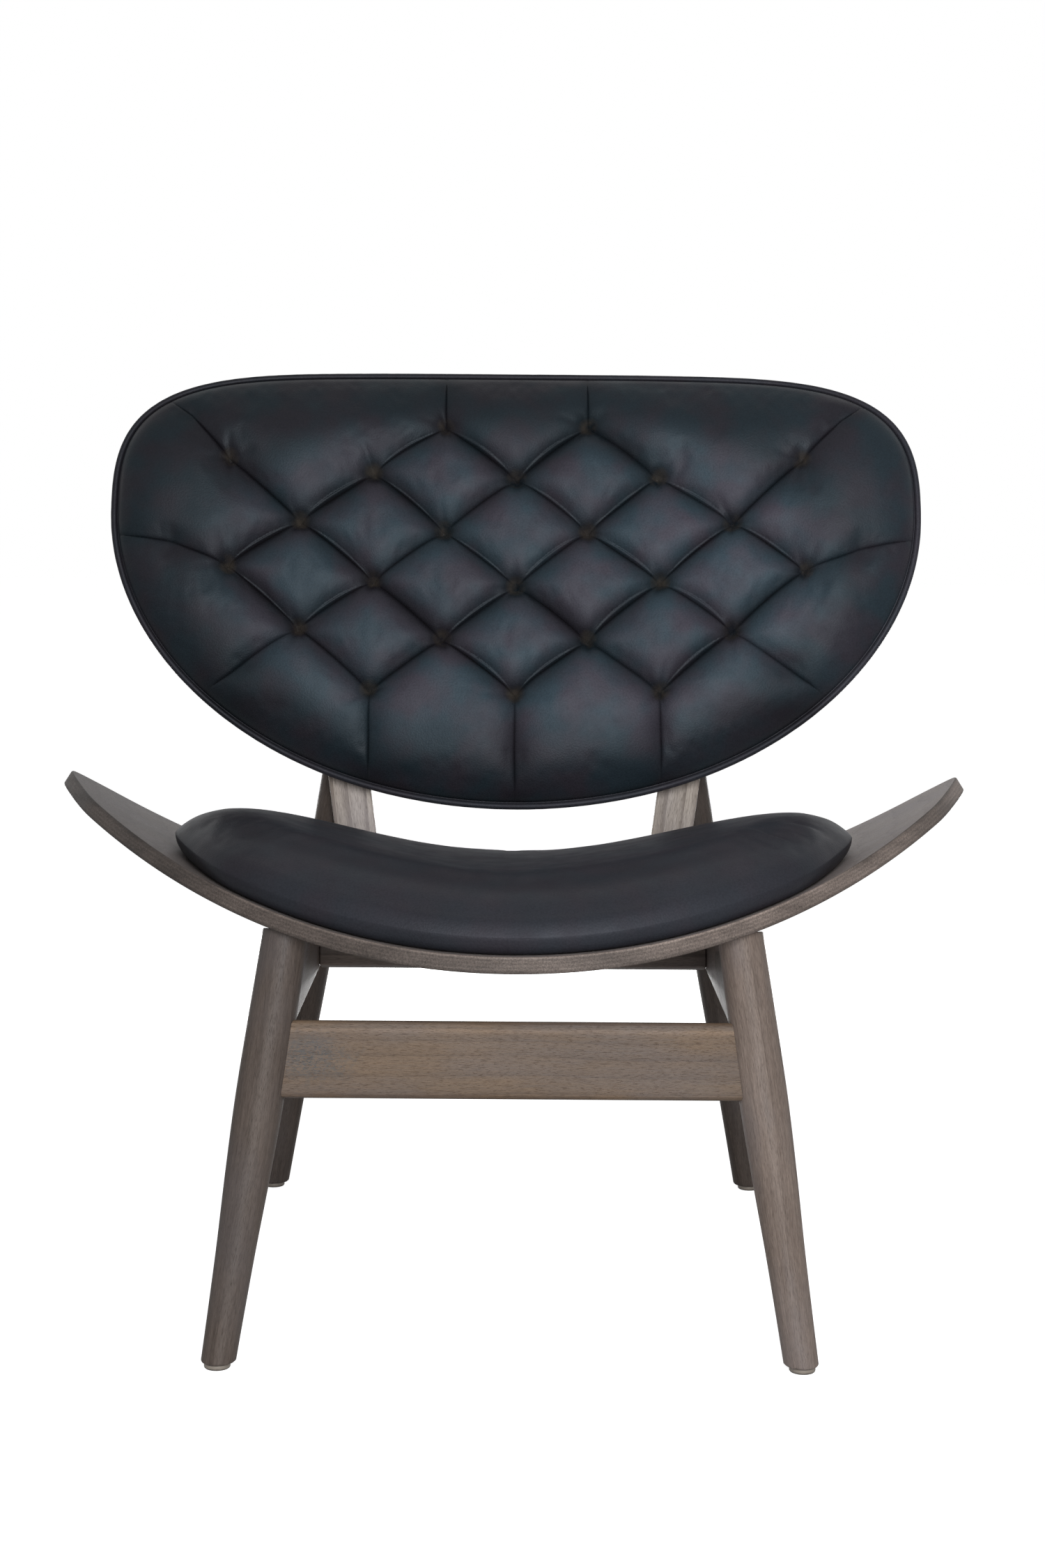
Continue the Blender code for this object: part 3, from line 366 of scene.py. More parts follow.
def triangulated(points, edges, rim_count):
    """Triangles over flat points, inside the ring of the first ones, with the given edges."""
    verts, _, faces, _, _, _ = delaunay_2d_cdt(
        [Vector(point) for point in points], edges, [list(range(rim_count))], 1, 1e-5)
    return np.array([tuple(vert) for vert in verts]), [tuple(face) for face in faces]


# %% Backrest rim
BACK_HALF_WIDTH = 0.4226
BACK_LOWER_HEIGHT = 0.310
BACK_UPPER_HEIGHT = 0.161
UPPER_SIDE_POWER = 0.4
UPPER_TOP_POWER = 0.7
WRAP_START = 0.150
WRAP_DEPTH = 0.030
WELT_RADIUS = 0.0035
GAP = 0.0003
RIM_POINTS = 512


def back_outline(count):
    """The backrest's rim seen square on, anticlockwise from its lowest point."""
    turn = np.linspace(0, 2 * math.pi, 4096, endpoint=False)
    across, up = np.sin(turn), -np.cos(turn)
    upper = up > 0
    x = np.sign(across) * np.abs(across) ** np.where(upper, UPPER_SIDE_POWER, 1)
    v = np.sign(up) * np.abs(up) ** np.where(upper, UPPER_TOP_POWER, 1)
    v = BACK_LOWER_HEIGHT + v * np.where(upper, BACK_UPPER_HEIGHT, BACK_LOWER_HEIGHT)
    return even_outline(np.column_stack([BACK_HALF_WIDTH * x, v]), count)


def wrap(x):
    """How far the sides of the backrest come forward at x."""
    past = np.maximum(0, np.abs(x) - WRAP_START) / (BACK_HALF_WIDTH - WRAP_START)
    return WRAP_DEPTH * past ** 2


RIM = back_outline(RIM_POINTS)
BODY_RIM = inset_outline(RIM, 2 * WELT_RADIUS + GAP)
print("rim", round(float(np.linalg.norm(RIM - np.roll(RIM, 1, axis=0), axis=1).sum()), 3), "m")

# %% [markdown]
# ## Tufting
#
# On the real backrest one sheet of leather is pulled down to the board at each tuft, and the
# spare leather between two tufts is folded into a pleat. That makes a diamond lattice of
# rounded puffs with a sharp valley between them. Cloth simulation alone can make puffs, but
# it leaves the pleats to chance. So the height of the leather is worked out at each point
# first: a crown, less a valley along each pleat, less a pit at each tuft, less short
# wrinkles that fan out of the tufts. The mesh's edges run along the pleats, so that they
# stay crisp, and a cloth simulation then swells the leather between them.

# %% Tuft lattice
PITCH_X = 0.0747
PITCH_V = 0.0575
BASE_V = 0.229
BOW_RISE = 0.019
BOW_HALF = 0.300
TUFT_ROWS = {3: (-1, 1), 2: (-4, -2, 0, 2, 4), 1: (-3, -1, 1, 3), 0: (-4, -2, 0, 2, 4),
             -1: (-3, -1, 1, 3), -2: (-2, 0, 2)}
RIM_CREASES = (((1, 3), (1, 4.8)), ((4, 2), (4.55, 2.72)), ((4.55, 2.72), (5.35, 3.35)),
               ((4, 0), (4.75, 0.24)), ((4.75, 0.24), (6.2, 0.27)), ((3, -1), (4.75, -2.8)),
               ((2, -2), (2.03, -4.4)), ((0, -2), (0, -4.5)))
TUFTS = sorted((column, row) for row, columns in TUFT_ROWS.items() for column in columns)
CREASES = [((column, row), (column + step, row + 1)) for column, row in TUFTS
           for step in (-1, 1) if (column + step, row + 1) in TUFTS]


def lattice_point(column, row):
    """A place on the straight lattice. The bow is added later."""
    return np.array([column * PITCH_X, BASE_V + row * PITCH_V])


def bow(x):
    """How far the lattice's rows rise towards the sides."""
    return BOW_RISE * (x / BOW_HALF) ** 2


def bowed(points, sign=1):
    """Points of the straight lattice moved onto the backrest, or back with a sign of -1."""
    return points + sign * np.column_stack([0 * points[:, 0], bow(points[:, 0])])


RIM_PLEATS = sorted({tuple((side * column, row) for column, row in ends)
                     for ends in RIM_CREASES for side in (-1, 1)})
print(len(TUFTS), "tufts,", len(CREASES), "pleats between them,", len(RIM_PLEATS), "to the rim")

# %% [markdown]
# A pleat is a thin line in a wide soft form, so an even grid would either blur it or need
# millions of points. The sheet's points stand close together only where they are needed: in
# rings along the rim, and in rows beside each pleat, with a coarse field between. A
# constrained triangulation joins them, and its edges run along the pleats.

# %% Sheet of the tufted cover
SHEET_RINGS = (0.0, 0.0005, 0.0016, 0.0034, 0.0060, 0.0095, 0.0140)
ROW_OFFSETS = (0.0011, 0.0024, 0.0042, 0.0066)
ROW_SPACINGS = (0.0008, 0.0010, 0.0015, 0.0022)
PLEAT_STEP, FIELD_STEP, FIELD_SPACING = 0.0040, 0.0058, 0.0034
RIM_TUCK, FIELD_MARGIN = 0.0005, 0.05


def spaced_out(candidates, kept, spacing):
    """Those candidates that keep their distance from the kept points and from each other."""
    tree = KDTree(len(kept))
    for number, point in enumerate(kept):
        tree.insert((*point, 0), number)
    tree.balance()
    cells, chosen = {}, []
    for point in candidates:
        if tree.find((*point, 0))[2] < spacing:
            continue
        cell = tuple((point // spacing).astype(int))
        around = [(cell[0] + i, cell[1] + j) for i in (-1, 0, 1) for j in (-1, 0, 1)]
        near = [other for key in around for other in cells.get(key, [])]
        if all(math.dist(point, other) >= spacing for other in near):
            cells.setdefault(cell, []).append(point)
            chosen.append(point)
    return np.array(chosen).reshape(-1, 2)


def pleat_rows(start, end, offset):
    """Points in two rows beside a pleat, or along it when the offset is 0."""
    a, b = lattice_point(*start), lattice_point(*end)
    count = max(2, round(np.linalg.norm(b - a) / PLEAT_STEP))
    along = a + (b - a) * (np.arange(count + 1) / count)[:, None]
    aside = np.array([a[1] - b[1], b[0] - a[0]]) / np.linalg.norm(b - a) * offset
    return np.vstack([along + aside, along - aside]) if offset else along


def tufted_sheet():
    """Flat points and triangles of the cover, its edges along the rim and the pleats."""
    tucked = inset_outline(BODY_RIM, RIM_TUCK)
    rings = [bowed(inset_outline(tucked, inset), -1) for inset in SHEET_RINGS]
    edges = ring_edges(RIM_POINTS)
    points = np.vstack(rings)
    pleats = CREASES + RIM_PLEATS
    for start, end in pleats:
        chain = pleat_rows(start, end, 0)
        chain = chain[inside_outline(chain, rings[2])]
        edges += [(len(points) + i, len(points) + i + 1) for i in range(len(chain) - 1)]
        points = np.vstack([points, chain])
    for offset, spacing in zip(ROW_OFFSETS, ROW_SPACINGS):
        rows = np.vstack([pleat_rows(start, end, offset) for start, end in pleats])
        rows = rows[inside_outline(rows, rings[2])]
        points = np.vstack([points, spaced_out(rows, points, spacing)])
    top = BACK_LOWER_HEIGHT + BACK_UPPER_HEIGHT + FIELD_MARGIN
    field = even_field(rings[-1], BACK_HALF_WIDTH, -FIELD_MARGIN, top, FIELD_STEP)
    points = np.vstack([points, spaced_out(field, points, FIELD_SPACING)])
    return triangulated(points, edges, RIM_POINTS)


def split_sheet(points, faces):
    """Each triangle split into four."""
    flat = mesh_object("sheet", np.column_stack([points, 0 * points[:, 0]]), faces)
    splitter = flat.modifiers.new("split", "SUBSURF")
    splitter.subdivision_type = "SIMPLE"
    splitter.levels = splitter.render_levels = 1
    settle(flat)
    with edited(flat.data) as bm:
        bmesh.ops.triangulate(bm, faces=bm.faces, quad_method="SHORT_EDGE")
    places = np.array([tuple(vert.co) for vert in flat.data.vertices])[:, :2]
    polygons = [tuple(face.vertices) for face in flat.data.polygons]
    bpy.data.objects.remove(flat)
    return places, polygons


sheet_base = tufted_sheet()
sheet_points, sheet_faces = split_sheet(*sheet_base)
print("sheet", len(sheet_base[0]), "then", len(sheet_points), "points", len(sheet_faces), "faces")

# %% [markdown]
# The form under the tufting is a crown with a rolled edge. Each pleat cuts a thin valley into
# it. Most pleats are tucked: the spare leather is folded over to one side, which leaves a
# low lip beside the valley and a second, shallower line.

# %% Crown and pleats
CROWN, ROLL, EDGE_LIFT = 0.041, 0.104, 0.0008
FOLD_DEPTH, FOLD_WIDTH, RIM_FOLD_DEPTH = 0.0021, 0.0012, 0.0021
VALLEY_ENDS, PLEAT_ENDS = 0.60, 30
TUCK_SHARE, TUCK_WIDTH, FULL_TUCK = 0.55, 0.0011, 0.0035
LIP_HEIGHT, LIP_LEAST_WIDTH = 0.0012, 0.0008


def crown(points, rim):
    """The rounded form under the tufting: how far it stands out, and the roll at its edge."""
    run = np.clip(outline_distance(points, rim) / ROLL, 0, 1)
    return CROWN * np.sqrt(1 - (1 - run) ** 2), run


def pleat_relief(points, start, end, tuck):
    """One pleat: its thin valley's share at each point, and the lip of the tuck beside it."""
    a, b = lattice_point(*start), lattice_point(*end)
    away = segment_distance(points, a, b)
    share, across = segment_place(points, a, b)
    middle = np.clip(4 * share * (1 - share), 0, 1)
    ends = (np.clip(share * PLEAT_ENDS + 1, 0, 1)
            * np.clip((1 - share) * PLEAT_ENDS + 1, 0, 1))
    valley = (VALLEY_ENDS + (1 - VALLEY_ENDS) * middle) * np.exp(-away / FOLD_WIDTH)
    beside = np.abs(across - tuck * middle)
    second = TUCK_SHARE * middle ** 0.5 * ends * np.exp(-beside / TUCK_WIDTH)
    width = max(abs(tuck) / 2, LIP_LEAST_WIDTH)
    lip = middle ** 0.5 * ends * np.exp(-((across - tuck * middle / 2) / width) ** 2)
    strong = min(1, abs(tuck) / FULL_TUCK)
    return away, np.maximum(valley, strong * second), strong * lip


# %% [markdown]
# Beside the valleys the leather falls in soft shoulders, and at each tuft it is pulled into a
# pit with a pin hole. Wrinkles fan out of the tufts, and a few hang straight down. A seeded
# chance gives every pleat and tuft its own measure, the same in each run.

# %% Puffs and tufts
PUFF_DEPTH, PUFF_WIDTH, RIM_PUFF_DEPTH, PUFF_POWER = 0.0104, 0.0150, 0.0062, 1.2
TUCKS, TUCK_CHANCES = (0.0, 0.0030, 0.0042, 0.0055), (0.3, 0.25, 0.25, 0.2)
PIT_DEPTH, PIT_WIDTH, PULL_WIDTH = 0.0026, 0.0080, 0.013
PIN_DEPTH, PIN_WIDTH = 0.0016, 0.0024
FAN_WRINKLES, DROP_WRINKLES = 5, 2
WRINKLE_WIDTH, WRINKLE_SPREAD = 0.0016, 0.0032


def wrinkle(points, centre, turn, long):
    """A short soft wrinkle out of a tuft: its share at each point."""
    tip = centre + long * np.array([math.cos(turn), math.sin(turn)])
    share, _ = segment_place(points, centre, tip)
    width = WRINKLE_WIDTH + WRINKLE_SPREAD * np.clip(share, 0, 1)
    fade = np.clip(1.1 - share, 0, 1) * np.clip(share * 5, 0, 1)
    return fade * np.exp(-(segment_distance(points, centre, tip) / width) ** 2)


def pleats_at(points, chance):
    """The dip of the puffs' shoulders at each point, the folds, the rim's folds and the lips."""
    puff, fold, rim_fold, lip = (np.zeros(len(points)) for _ in range(4))
    for start, end in CREASES:
        leans = 1 if end[0] > start[0] else -1
        away, valley, ridge = pleat_relief(points, start, end,
                                           leans * chance.choice(TUCKS, p=TUCK_CHANCES))
        sunk = PUFF_DEPTH * chance.uniform(0.8, 1.15)
        puff += (sunk * np.exp(-(away / PUFF_WIDTH) ** PUFF_POWER)) ** 3
        fold = np.maximum(fold, chance.uniform(0.75, 1.1) * valley)
        lip += LIP_HEIGHT * chance.uniform(0.7, 1.3) * ridge
    for start, end in RIM_PLEATS:
        away, valley, _ = pleat_relief(points, start, end, 0.0)
        puff += (RIM_PUFF_DEPTH * np.exp(-(away / PUFF_WIDTH) ** PUFF_POWER)) ** 3
        rim_fold = np.maximum(rim_fold, valley)
    return np.cbrt(puff), fold, rim_fold, lip


def tufts_at(points, chance):
    """The dip of the pits and wrinkles at each point, and how near a tuft it is."""
    dip, pull = np.zeros(len(points)), np.zeros(len(points))
    for place in TUFTS:
        centre = lattice_point(*place)
        away = np.linalg.norm(points - centre, axis=1)
        dip += PIT_DEPTH * np.exp(-(away / PIT_WIDTH) ** 2) + PIN_DEPTH * np.exp(-away / PIN_WIDTH)
        pull = np.maximum(pull, np.exp(-(away / PULL_WIDTH) ** 2))
        turns = list(np.cumsum(chance.uniform(0.7, 1.8, FAN_WRINKLES)) + chance.uniform(0, 6.28))
        turns += list(-math.pi / 2 + chance.uniform(-0.45, 0.45, DROP_WRINKLES))
        for turn in turns:
            deep = chance.uniform(0.0007, 0.0020)
            dip += deep * wrinkle(points, centre, turn, chance.uniform(0.016, 0.036))
    return dip, pull


# %% [markdown]
# Real pleats aren't ruled lines. Between two tufts they arch upwards by a few millimetres,
# because the leather hangs a little, and no two are alike. The sheet is warped for that
# after its heights are known, so the valleys move with it.

# %% Height of the leather
TUFTED_COLUMNS, TUFTED_ROWS, TUFTED_CORNER = 4.6, 3.2, 5.6
ARCH = 0.0026
EDGE_RUN = 0.05
WANDER, WAVE = 0.0014, 0.0009


def tufted_share(points):
    """1 among the tufts and 0 in the smooth panels around them."""
    column, row = np.abs(points[:, 0] / PITCH_X), np.abs((points[:, 1] - BASE_V) / PITCH_V)
    share = np.clip(TUFTED_COLUMNS - column, 0, 1) * np.clip(TUFTED_ROWS - row, 0, 1)
    return share * np.clip((TUFTED_CORNER - column - row) / 0.8, 0, 1)


def tufted_depths(points, rim):
    """Height of the leather over its edge, and shares of fold, pull and painted puff shading at
    each point.
    """
    chance = np.random.default_rng(7)
    height, run = crown(points, rim)
    dip, fold, rim_fold, lip = pleats_at(points, chance)
    # Painted light and shade: 1 on the puffs, less towards the pleats' shoulders.
    puff_shading = 1 - np.clip(dip / PUFF_DEPTH, 0, 1)
    tuft_dip, pull = tufts_at(points, chance)
    ease = np.clip(2.2 * run, 0, 1)
    fold_ease = 0.35 + 0.65 * np.clip(5 * run, 0, 1)
    height = height - ease * (dip + tuft_dip - lip) - fold_ease * np.maximum(
        FOLD_DEPTH * fold, RIM_FOLD_DEPTH * rim_fold)
    # The smooth panels get still less, as painted shade.
    puff_shading *= 0.22 + 0.78 * tufted_share(points)
    return height, np.maximum(fold, 0.8 * rim_fold), pull, puff_shading


def arch_shift(points):
    """Upward shift that bends each pleat into a low arch."""
    column = points[:, 0] / PITCH_X
    row = (points[:, 1] - BASE_V) / PITCH_V
    s, t = (column + row) / 2 % 1, (column - row) / 2 % 1
    bump = 1 - (1 - 4 * s * (1 - s)) * (1 - 4 * t * (1 - t))
    inner = (np.clip((TUFTED_COLUMNS - np.abs(column)) / 0.8, 0, 1)
             * np.clip((TUFTED_ROWS - np.abs(row)) / 0.6, 0, 1))
    return ARCH * bump * inner


def slow_waves(points, size, seed):
    """A smooth wandering value between about -1 and 1, from a few long waves."""
    own = np.random.default_rng(seed)
    total = np.zeros(len(points))
    for _ in range(7):
        angle, phase = own.uniform(0, 2 * math.pi, 2)
        length = size * own.uniform(0.7, 1.6)
        along = points @ np.array([math.cos(angle), math.sin(angle)])
        total += np.sin(2 * math.pi * along / length + phase)
    return total / 3.5


straight_rim = bowed(BODY_RIM, -1)
heights, fold_share, pull_share, puff_shading_share = tufted_depths(sheet_points, straight_rim)
edge_run = np.clip(outline_distance(sheet_points, straight_rim) / EDGE_RUN, 0, 1)
warped = sheet_points.copy()
warped[:, 1] += bow(sheet_points[:, 0]) + edge_run * arch_shift(sheet_points)
for axis, seed in ((0, 3), (1, 4)):
    warped[:, axis] += WANDER * edge_run * slow_waves(sheet_points, 0.12, seed)
heights += WAVE * edge_run * slow_waves(sheet_points, 0.10, 5)
print("leather stands", round(float(heights.max()), 4), "m over its edge")

# %% [markdown]
# Leather over foam finds its own form. It swells between the places that hold it and gathers
# where there is too much of it, and a cloth simulation gives both. The cover, cut a little
# too large, is simulated on its coarser points, held at its pleats, tufts and rim, and pressed
# out by its filling. How far each point went, a few millimetres, is smoothed and carried
# over to the fine points, where the thin pleats keep their shape.

# %% Cloth
CLOTH_FRAMES = 16
CLOTH_PRESSURE, CLOTH_CAP = 4.0, 0.0060
PANEL_SLACK, TUFTED_SLACK = 0.005, 0.022
CARRY_CELL, CARRY_BLUR, CARRY_MARGIN = 0.00125, 0.0026, 0.03
HELD_FOLD, HELD_RIM, HELD_TUFT, FREE_RIM = 0.25, 0.003, 0.004, 0.012


def cloth_shift(points, faces, held, loose, slack, cap):
    """How far each point of a cover moves, as cloth, when its filling presses it out."""
    cover = mesh_object("cover", points, faces)
    for name, weights in (("held", held), ("loose", loose)):
        group = cover.vertex_groups.new(name=name)
        for number in np.flatnonzero(weights > 0):
            group.add([int(number)], float(weights[number]), "REPLACE")
    cloth = cover.modifiers.new("cloth", "CLOTH")
    leather = cloth.settings
    leather.quality = 4
    leather.tension_stiffness = leather.compression_stiffness = 15
    leather.shear_stiffness = 5
    leather.bending_stiffness = 0.5
    leather.use_pressure = True
    leather.uniform_pressure_force = CLOTH_PRESSURE
    leather.shrink_min, leather.shrink_max = -slack[0], -slack[1]
    leather.vertex_group_mass, leather.vertex_group_shrink = "held", "loose"
    leather.effector_weights.gravity = 0
    cloth.collision_settings.use_collision = False
    cloth.point_cache.frame_start, cloth.point_cache.frame_end = 1, CLOTH_FRAMES
    for moment in range(1, CLOTH_FRAMES + 1):
        bpy.context.scene.frame_set(moment)
    settle(cover)
    shift = np.array([tuple(vert.co) for vert in cover.data.vertices]) - points
    bpy.data.objects.remove(cover)
    bpy.context.scene.frame_set(1)
    length = np.maximum(np.linalg.norm(shift, axis=1), 1e-9)
    shift *= (cap * np.tanh(length / cap) / length)[:, None]
    print("cloth moved by", round(float(length.mean()), 4), "m, at most",
          round(float(length.max()), 4))
    return shift


def point_areas(points, faces):
    """The share of the surface that belongs to each point."""
    corners = np.array(faces)
    a, b, c = (points[corners[:, i]] for i in range(3))
    area = np.linalg.norm(np.cross(b - a, c - a), axis=1) / 6
    return np.bincount(corners.ravel(), np.repeat(area, 3), len(points))


def carried_over(points, areas, values, places):
    """Values at the points, smoothed over a few millimetres, read at other places in the plane."""
    low = points.min(axis=0) - CARRY_MARGIN
    shape = np.ceil((points.max(axis=0) + CARRY_MARGIN - low) / CARRY_CELL).astype(int)
    waves = [np.fft.fftfreq(count, CARRY_CELL) for count in shape]
    spread_out = np.exp(-2 * (math.pi * CARRY_BLUR) ** 2
                        * (waves[0][:, None] ** 2 + waves[1][None] ** 2))

    def corners(spots):
        cell = (spots - low) / CARRY_CELL
        base = np.floor(cell).astype(int)
        part = cell - base
        return [((base[:, 0] + i) * shape[1] + base[:, 1] + j,
                 (part[:, 0] if i else 1 - part[:, 0]) * (part[:, 1] if j else 1 - part[:, 1]))
                for i in (0, 1) for j in (0, 1)]

    layers = []
    for layer in [np.ones(len(points)), *values.T]:
        total = sum(np.bincount(index, share * areas * layer, shape[0] * shape[1])
                    for index, share in corners(points))
        soft = np.fft.ifft2(np.fft.fft2(total.reshape(shape)) * spread_out).real.ravel()
        layers.append(sum(share * soft[index] for index, share in corners(places)))
    return np.column_stack(layers[1:]) / np.maximum(layers[0], 1e-12)[:, None]


base_points, base_faces = sheet_base
base_heights, base_fold, _, _ = tufted_depths(base_points, straight_rim)
held = np.maximum(np.clip((base_fold - HELD_FOLD) * 4, 0, 1),
                  outline_distance(base_points, straight_rim) < HELD_RIM)
for place in TUFTS:
    away = np.linalg.norm(base_points - lattice_point(*place), axis=1)
    held = np.maximum(held, np.clip(1.6 - away / HELD_TUFT, 0, 1))
base_places = np.column_stack([base_points[:, 0], -base_heights, base_points[:, 1]])
base_shift = cloth_shift(base_places, base_faces, held, tufted_share(base_points),
                         (PANEL_SLACK, TUFTED_SLACK), CLOTH_CAP)
cover_shift = carried_over(base_points, point_areas(base_places, base_faces), base_shift,
                           sheet_points)
free = np.clip(outline_distance(sheet_points, straight_rim) / FREE_RIM, 0, 1)
cover_shift *= free[:, None]

# %% [markdown]
# The cushion is closed behind by a flat face, where its foam lies on the backrest's board.
# Both faces share the points' order, so the sides are quads between their rims.

# %% Tufted cushion
FOAM_REAR = 0.0026


def open_edges(faces):
    """Directed edges that only one face uses, in a steady order."""
    directed = {(face[i - 1], face[i]) for face in faces for i in range(len(face))}
    return [edge for edge in sorted(directed) if edge[::-1] not in directed]


def closed_faces(faces, count):
    """Faces of a solid whose back repeats the front's points, count places on."""
    back = [tuple(i + count for i in reversed(face)) for face in faces]
    sides = [(b, a, a + count, b + count) for a, b in open_edges(faces)]
    return faces + back + sides


def backrest_places(plan, depths):
    """Places on the wrapped backrest from points seen square on and their depths."""
    return np.column_stack([plan[:, 0], depths - wrap(plan[:, 0]), plan[:, 1]])


front_places = backrest_places(warped, -EDGE_LIFT - heights) + cover_shift
rear_places = backrest_places(warped, np.full(len(warped), FOAM_REAR))
tufted_cushion = mesh_object("tufted_cushion",
                             placed(BACK_FRAME, np.vstack([front_places, rear_places])),
                             closed_faces(sheet_faces, len(sheet_points)))
# The puff shading is painted light and shade, for the finish to read.
for name, shares in (("fold", fold_share), ("pull", pull_share), ("puff_shading", puff_shading_share)):
    store(tufted_cushion, name, np.concatenate([shares, 0 * shares]))
shade_round(tufted_cushion, 75)

# %% [markdown]
# ## Leather
#
# The leather is a blue-black hide with a satin finish. Its grain is a net of tiny pebbles,
# which a cell texture gives, with finer noise over it. Shade is painted into the folds, and
# the puffs are painted lighter in their middles and darker on their shoulders and in the
# smooth panels. A little brown shows where it is pulled down to a tuft. Painted shade also
# darkens the hide towards the chair's left, the backrest's top and the ends of the pad, and
# painted light brightens it towards the right. Gloss comes from the shader and the studio's
# lights, and a faint wandering roughness keeps it from looking like plastic.

# %% Leather finish
# The fold tone is painted shade in the leather's folds.
FOLD_SHADE, TUFT_BROWN = (0.0052, 0.0044, 0.0042, 1), (0.046, 0.038, 0.030, 1)


def leather_finish(name, colour, sheen, folds=False):
    """Satin leather; with folds, painted shade in the folds and painted light and shade on the
    puffs.
    """
    material, tree, shader = new_finish(name, 0.42, 0.135)
    shader.inputs["Specular Tint"].default_value = (*sheen, 1)
    place = add_node(tree, "TexCoord").outputs["Object"]
    split = add_node(tree, "SeparateXYZ", {0: place}).outputs
    grain = add_node(tree, "TexVoronoi", {"Vector": place, "Scale": 620.0},
                     feature="SMOOTH_F1").outputs["Distance"]
    patchy = 1.0 if folds else 0.3
    warm, cool = ((*[c * (1 + patchy * share) for c, share in zip(colour, shares)], 1)
                  for shares in ((0.25, -0.08, -0.08), (-0.16, 0.08, 0.06)))
    patches = spread(tree, noise(tree, place, 22.0, 2.0), 0.38, 0.62)
    tone = colour_mix(tree, patches, cool, warm)
    blotch = noise(tree, place, 9.0, 3.0, 0.55)
    # Painted light and shade: darker towards the chair's left and lighter towards its right, darker
    # towards the backrest's top, and darker at the pad's ends.
    ends = spread(tree, calculate(tree, "ABSOLUTE", split["X"]), 0.20, 0.31, 1.0, 0.50)
    tone = shaded(tree, tone, spread(tree, blotch, 0.3, 0.7, 0.86, 1.14),
                  spread(tree, split["X"], -0.42, 0.42, 0.60, 1.24),
                  spread(tree, split["Z"], 0.70, 0.86, 1.0, 0.70),
                  calculate(tree, "MAXIMUM", spread(tree, split["Z"], 0.50, 0.55), ends),
                  spread(tree, grain, 0.15, 0.75, 1.06, 0.80))
    if folds:
        # Painted light on the puffs' middles, painted shade on their shoulders and on the panels.
        tone = shaded(tree, tone, spread(tree, attribute(tree, "puff_shading"), 0.0, 0.85, 0.50, 1.95))
        # Painted shade in the folds, broken up by noise.
        dark = product(tree, spread(tree, attribute(tree, "fold"), 0.35, 1.0, 0.0, 0.50),
                       spread(tree, noise(tree, place, 26.0, 2.0, 0.5), 0.35, 0.65, 0.45, 1.0))
        tone = colour_mix(tree, dark, tone, FOLD_SHADE)
        brown = product(tree, spread(tree, attribute(tree, "pull"), 0.45, 1.0, 0.0, 0.75),
                        spread(tree, noise(tree, place, 60.0), 0.35, 0.65))
        tone = colour_mix(tree, brown, tone, TUFT_BROWN)
    tree.links.new(tone, shader.inputs["Base Color"])
    rough = spread(tree, noise(tree, place, 38.0, 4.0, 0.6), 0.3, 0.7, 0.41, 0.52)
    tree.links.new(rough, shader.inputs["Roughness"])
    fine = product(tree, noise(tree, place, 1400.0, 2.0, 0.6), 0.35)
    bumped(tree, shader, calculate(tree, "MULTIPLY_ADD", grain, -1.0, fine), 0.00022, 0.55)
    return material


BACK_LEATHER = leather_finish("tufted_leather", (0.0152, 0.0186, 0.0248), (0.80, 0.91, 1.0), True)
PAD_LEATHER = leather_finish("pad_leather", (0.0186, 0.0190, 0.0240), (0.86, 0.88, 1.0))
mount_piece(tufted_cushion, BACK_LEATHER, "leather", "backrest_front_cover", "backrest_foam")

# %% [markdown]
# ## Back of the backrest
#
# The photograph doesn't show it. On such chairs the board's back is covered by a second
# piece of the same leather, thinly padded and smooth, and its edge meets the welt. It is
# made on the same sheet of points, so its rim lies on the cushion's.

# %% Rear cover
COVER_THICKNESS, COVER_REACH, COVER_TAPER = 0.0012, 0.25, 0.006
REAR_EDGE_DEPTH, REAR_DEPTH, REAR_ROLL = 0.003, 0.016, 0.013
REAR_BELLY, REAR_WAVE = 0.0012, 0.0003

rear_points = bowed(sheet_base[0])
rear_faces = [face[::-1] for face in sheet_base[1]]
rear_run = outline_distance(rear_points, BODY_RIM)
rear_roll = np.sqrt(1 - (1 - np.clip(rear_run / REAR_ROLL, 0, 1)) ** 2)
soft = np.clip((rear_run - 0.004) / EDGE_RUN, 0, 1)
rear_depth = REAR_EDGE_DEPTH + (REAR_DEPTH - REAR_EDGE_DEPTH) * rear_roll
rear_depth += REAR_WAVE * soft * slow_waves(rear_points, 0.16, 11)
outer = backrest_places(rear_points, rear_depth - REAR_BELLY * (1 - soft) * rear_roll)
inner, middle = outer.copy(), np.array([0, BACK_LOWER_HEIGHT])
inner[:, [0, 2]] = middle + (outer[:, [0, 2]] - middle) * (1 - COVER_THICKNESS / COVER_REACH)
inner[:, 1] -= COVER_THICKNESS * np.clip(rear_run / COVER_TAPER, 0, 1)
rear_cover = mesh_object("rear_cover", placed(BACK_FRAME, np.vstack([outer, inner])),
                         closed_faces(rear_faces, len(outer)))
shade_round(rear_cover, 60)
mount_piece(rear_cover, PAD_LEATHER, "leather", "backrest_rear_cover")

# %% [markdown]
# ## Welt
#
# A welt is a cord wrapped in a strip of leather and sewn between the two covers. It could be
# a curve with a round bevel. A tube of rings is made instead, because the leather on a real
# welt creases a little as it goes round, and each ring can be a touch thicker or thinner.
# The strip's two free edges run inwards between the covers, where the seam holds them, so
# no light comes through beside the cord.

# %% Welt
WELT_RINGS, WELT_SIDES = 900, 14
WELT_CREASE = 0.016
FLANGE_WIDTH, FLANGE_THICKNESS = 0.0075, 0.0012


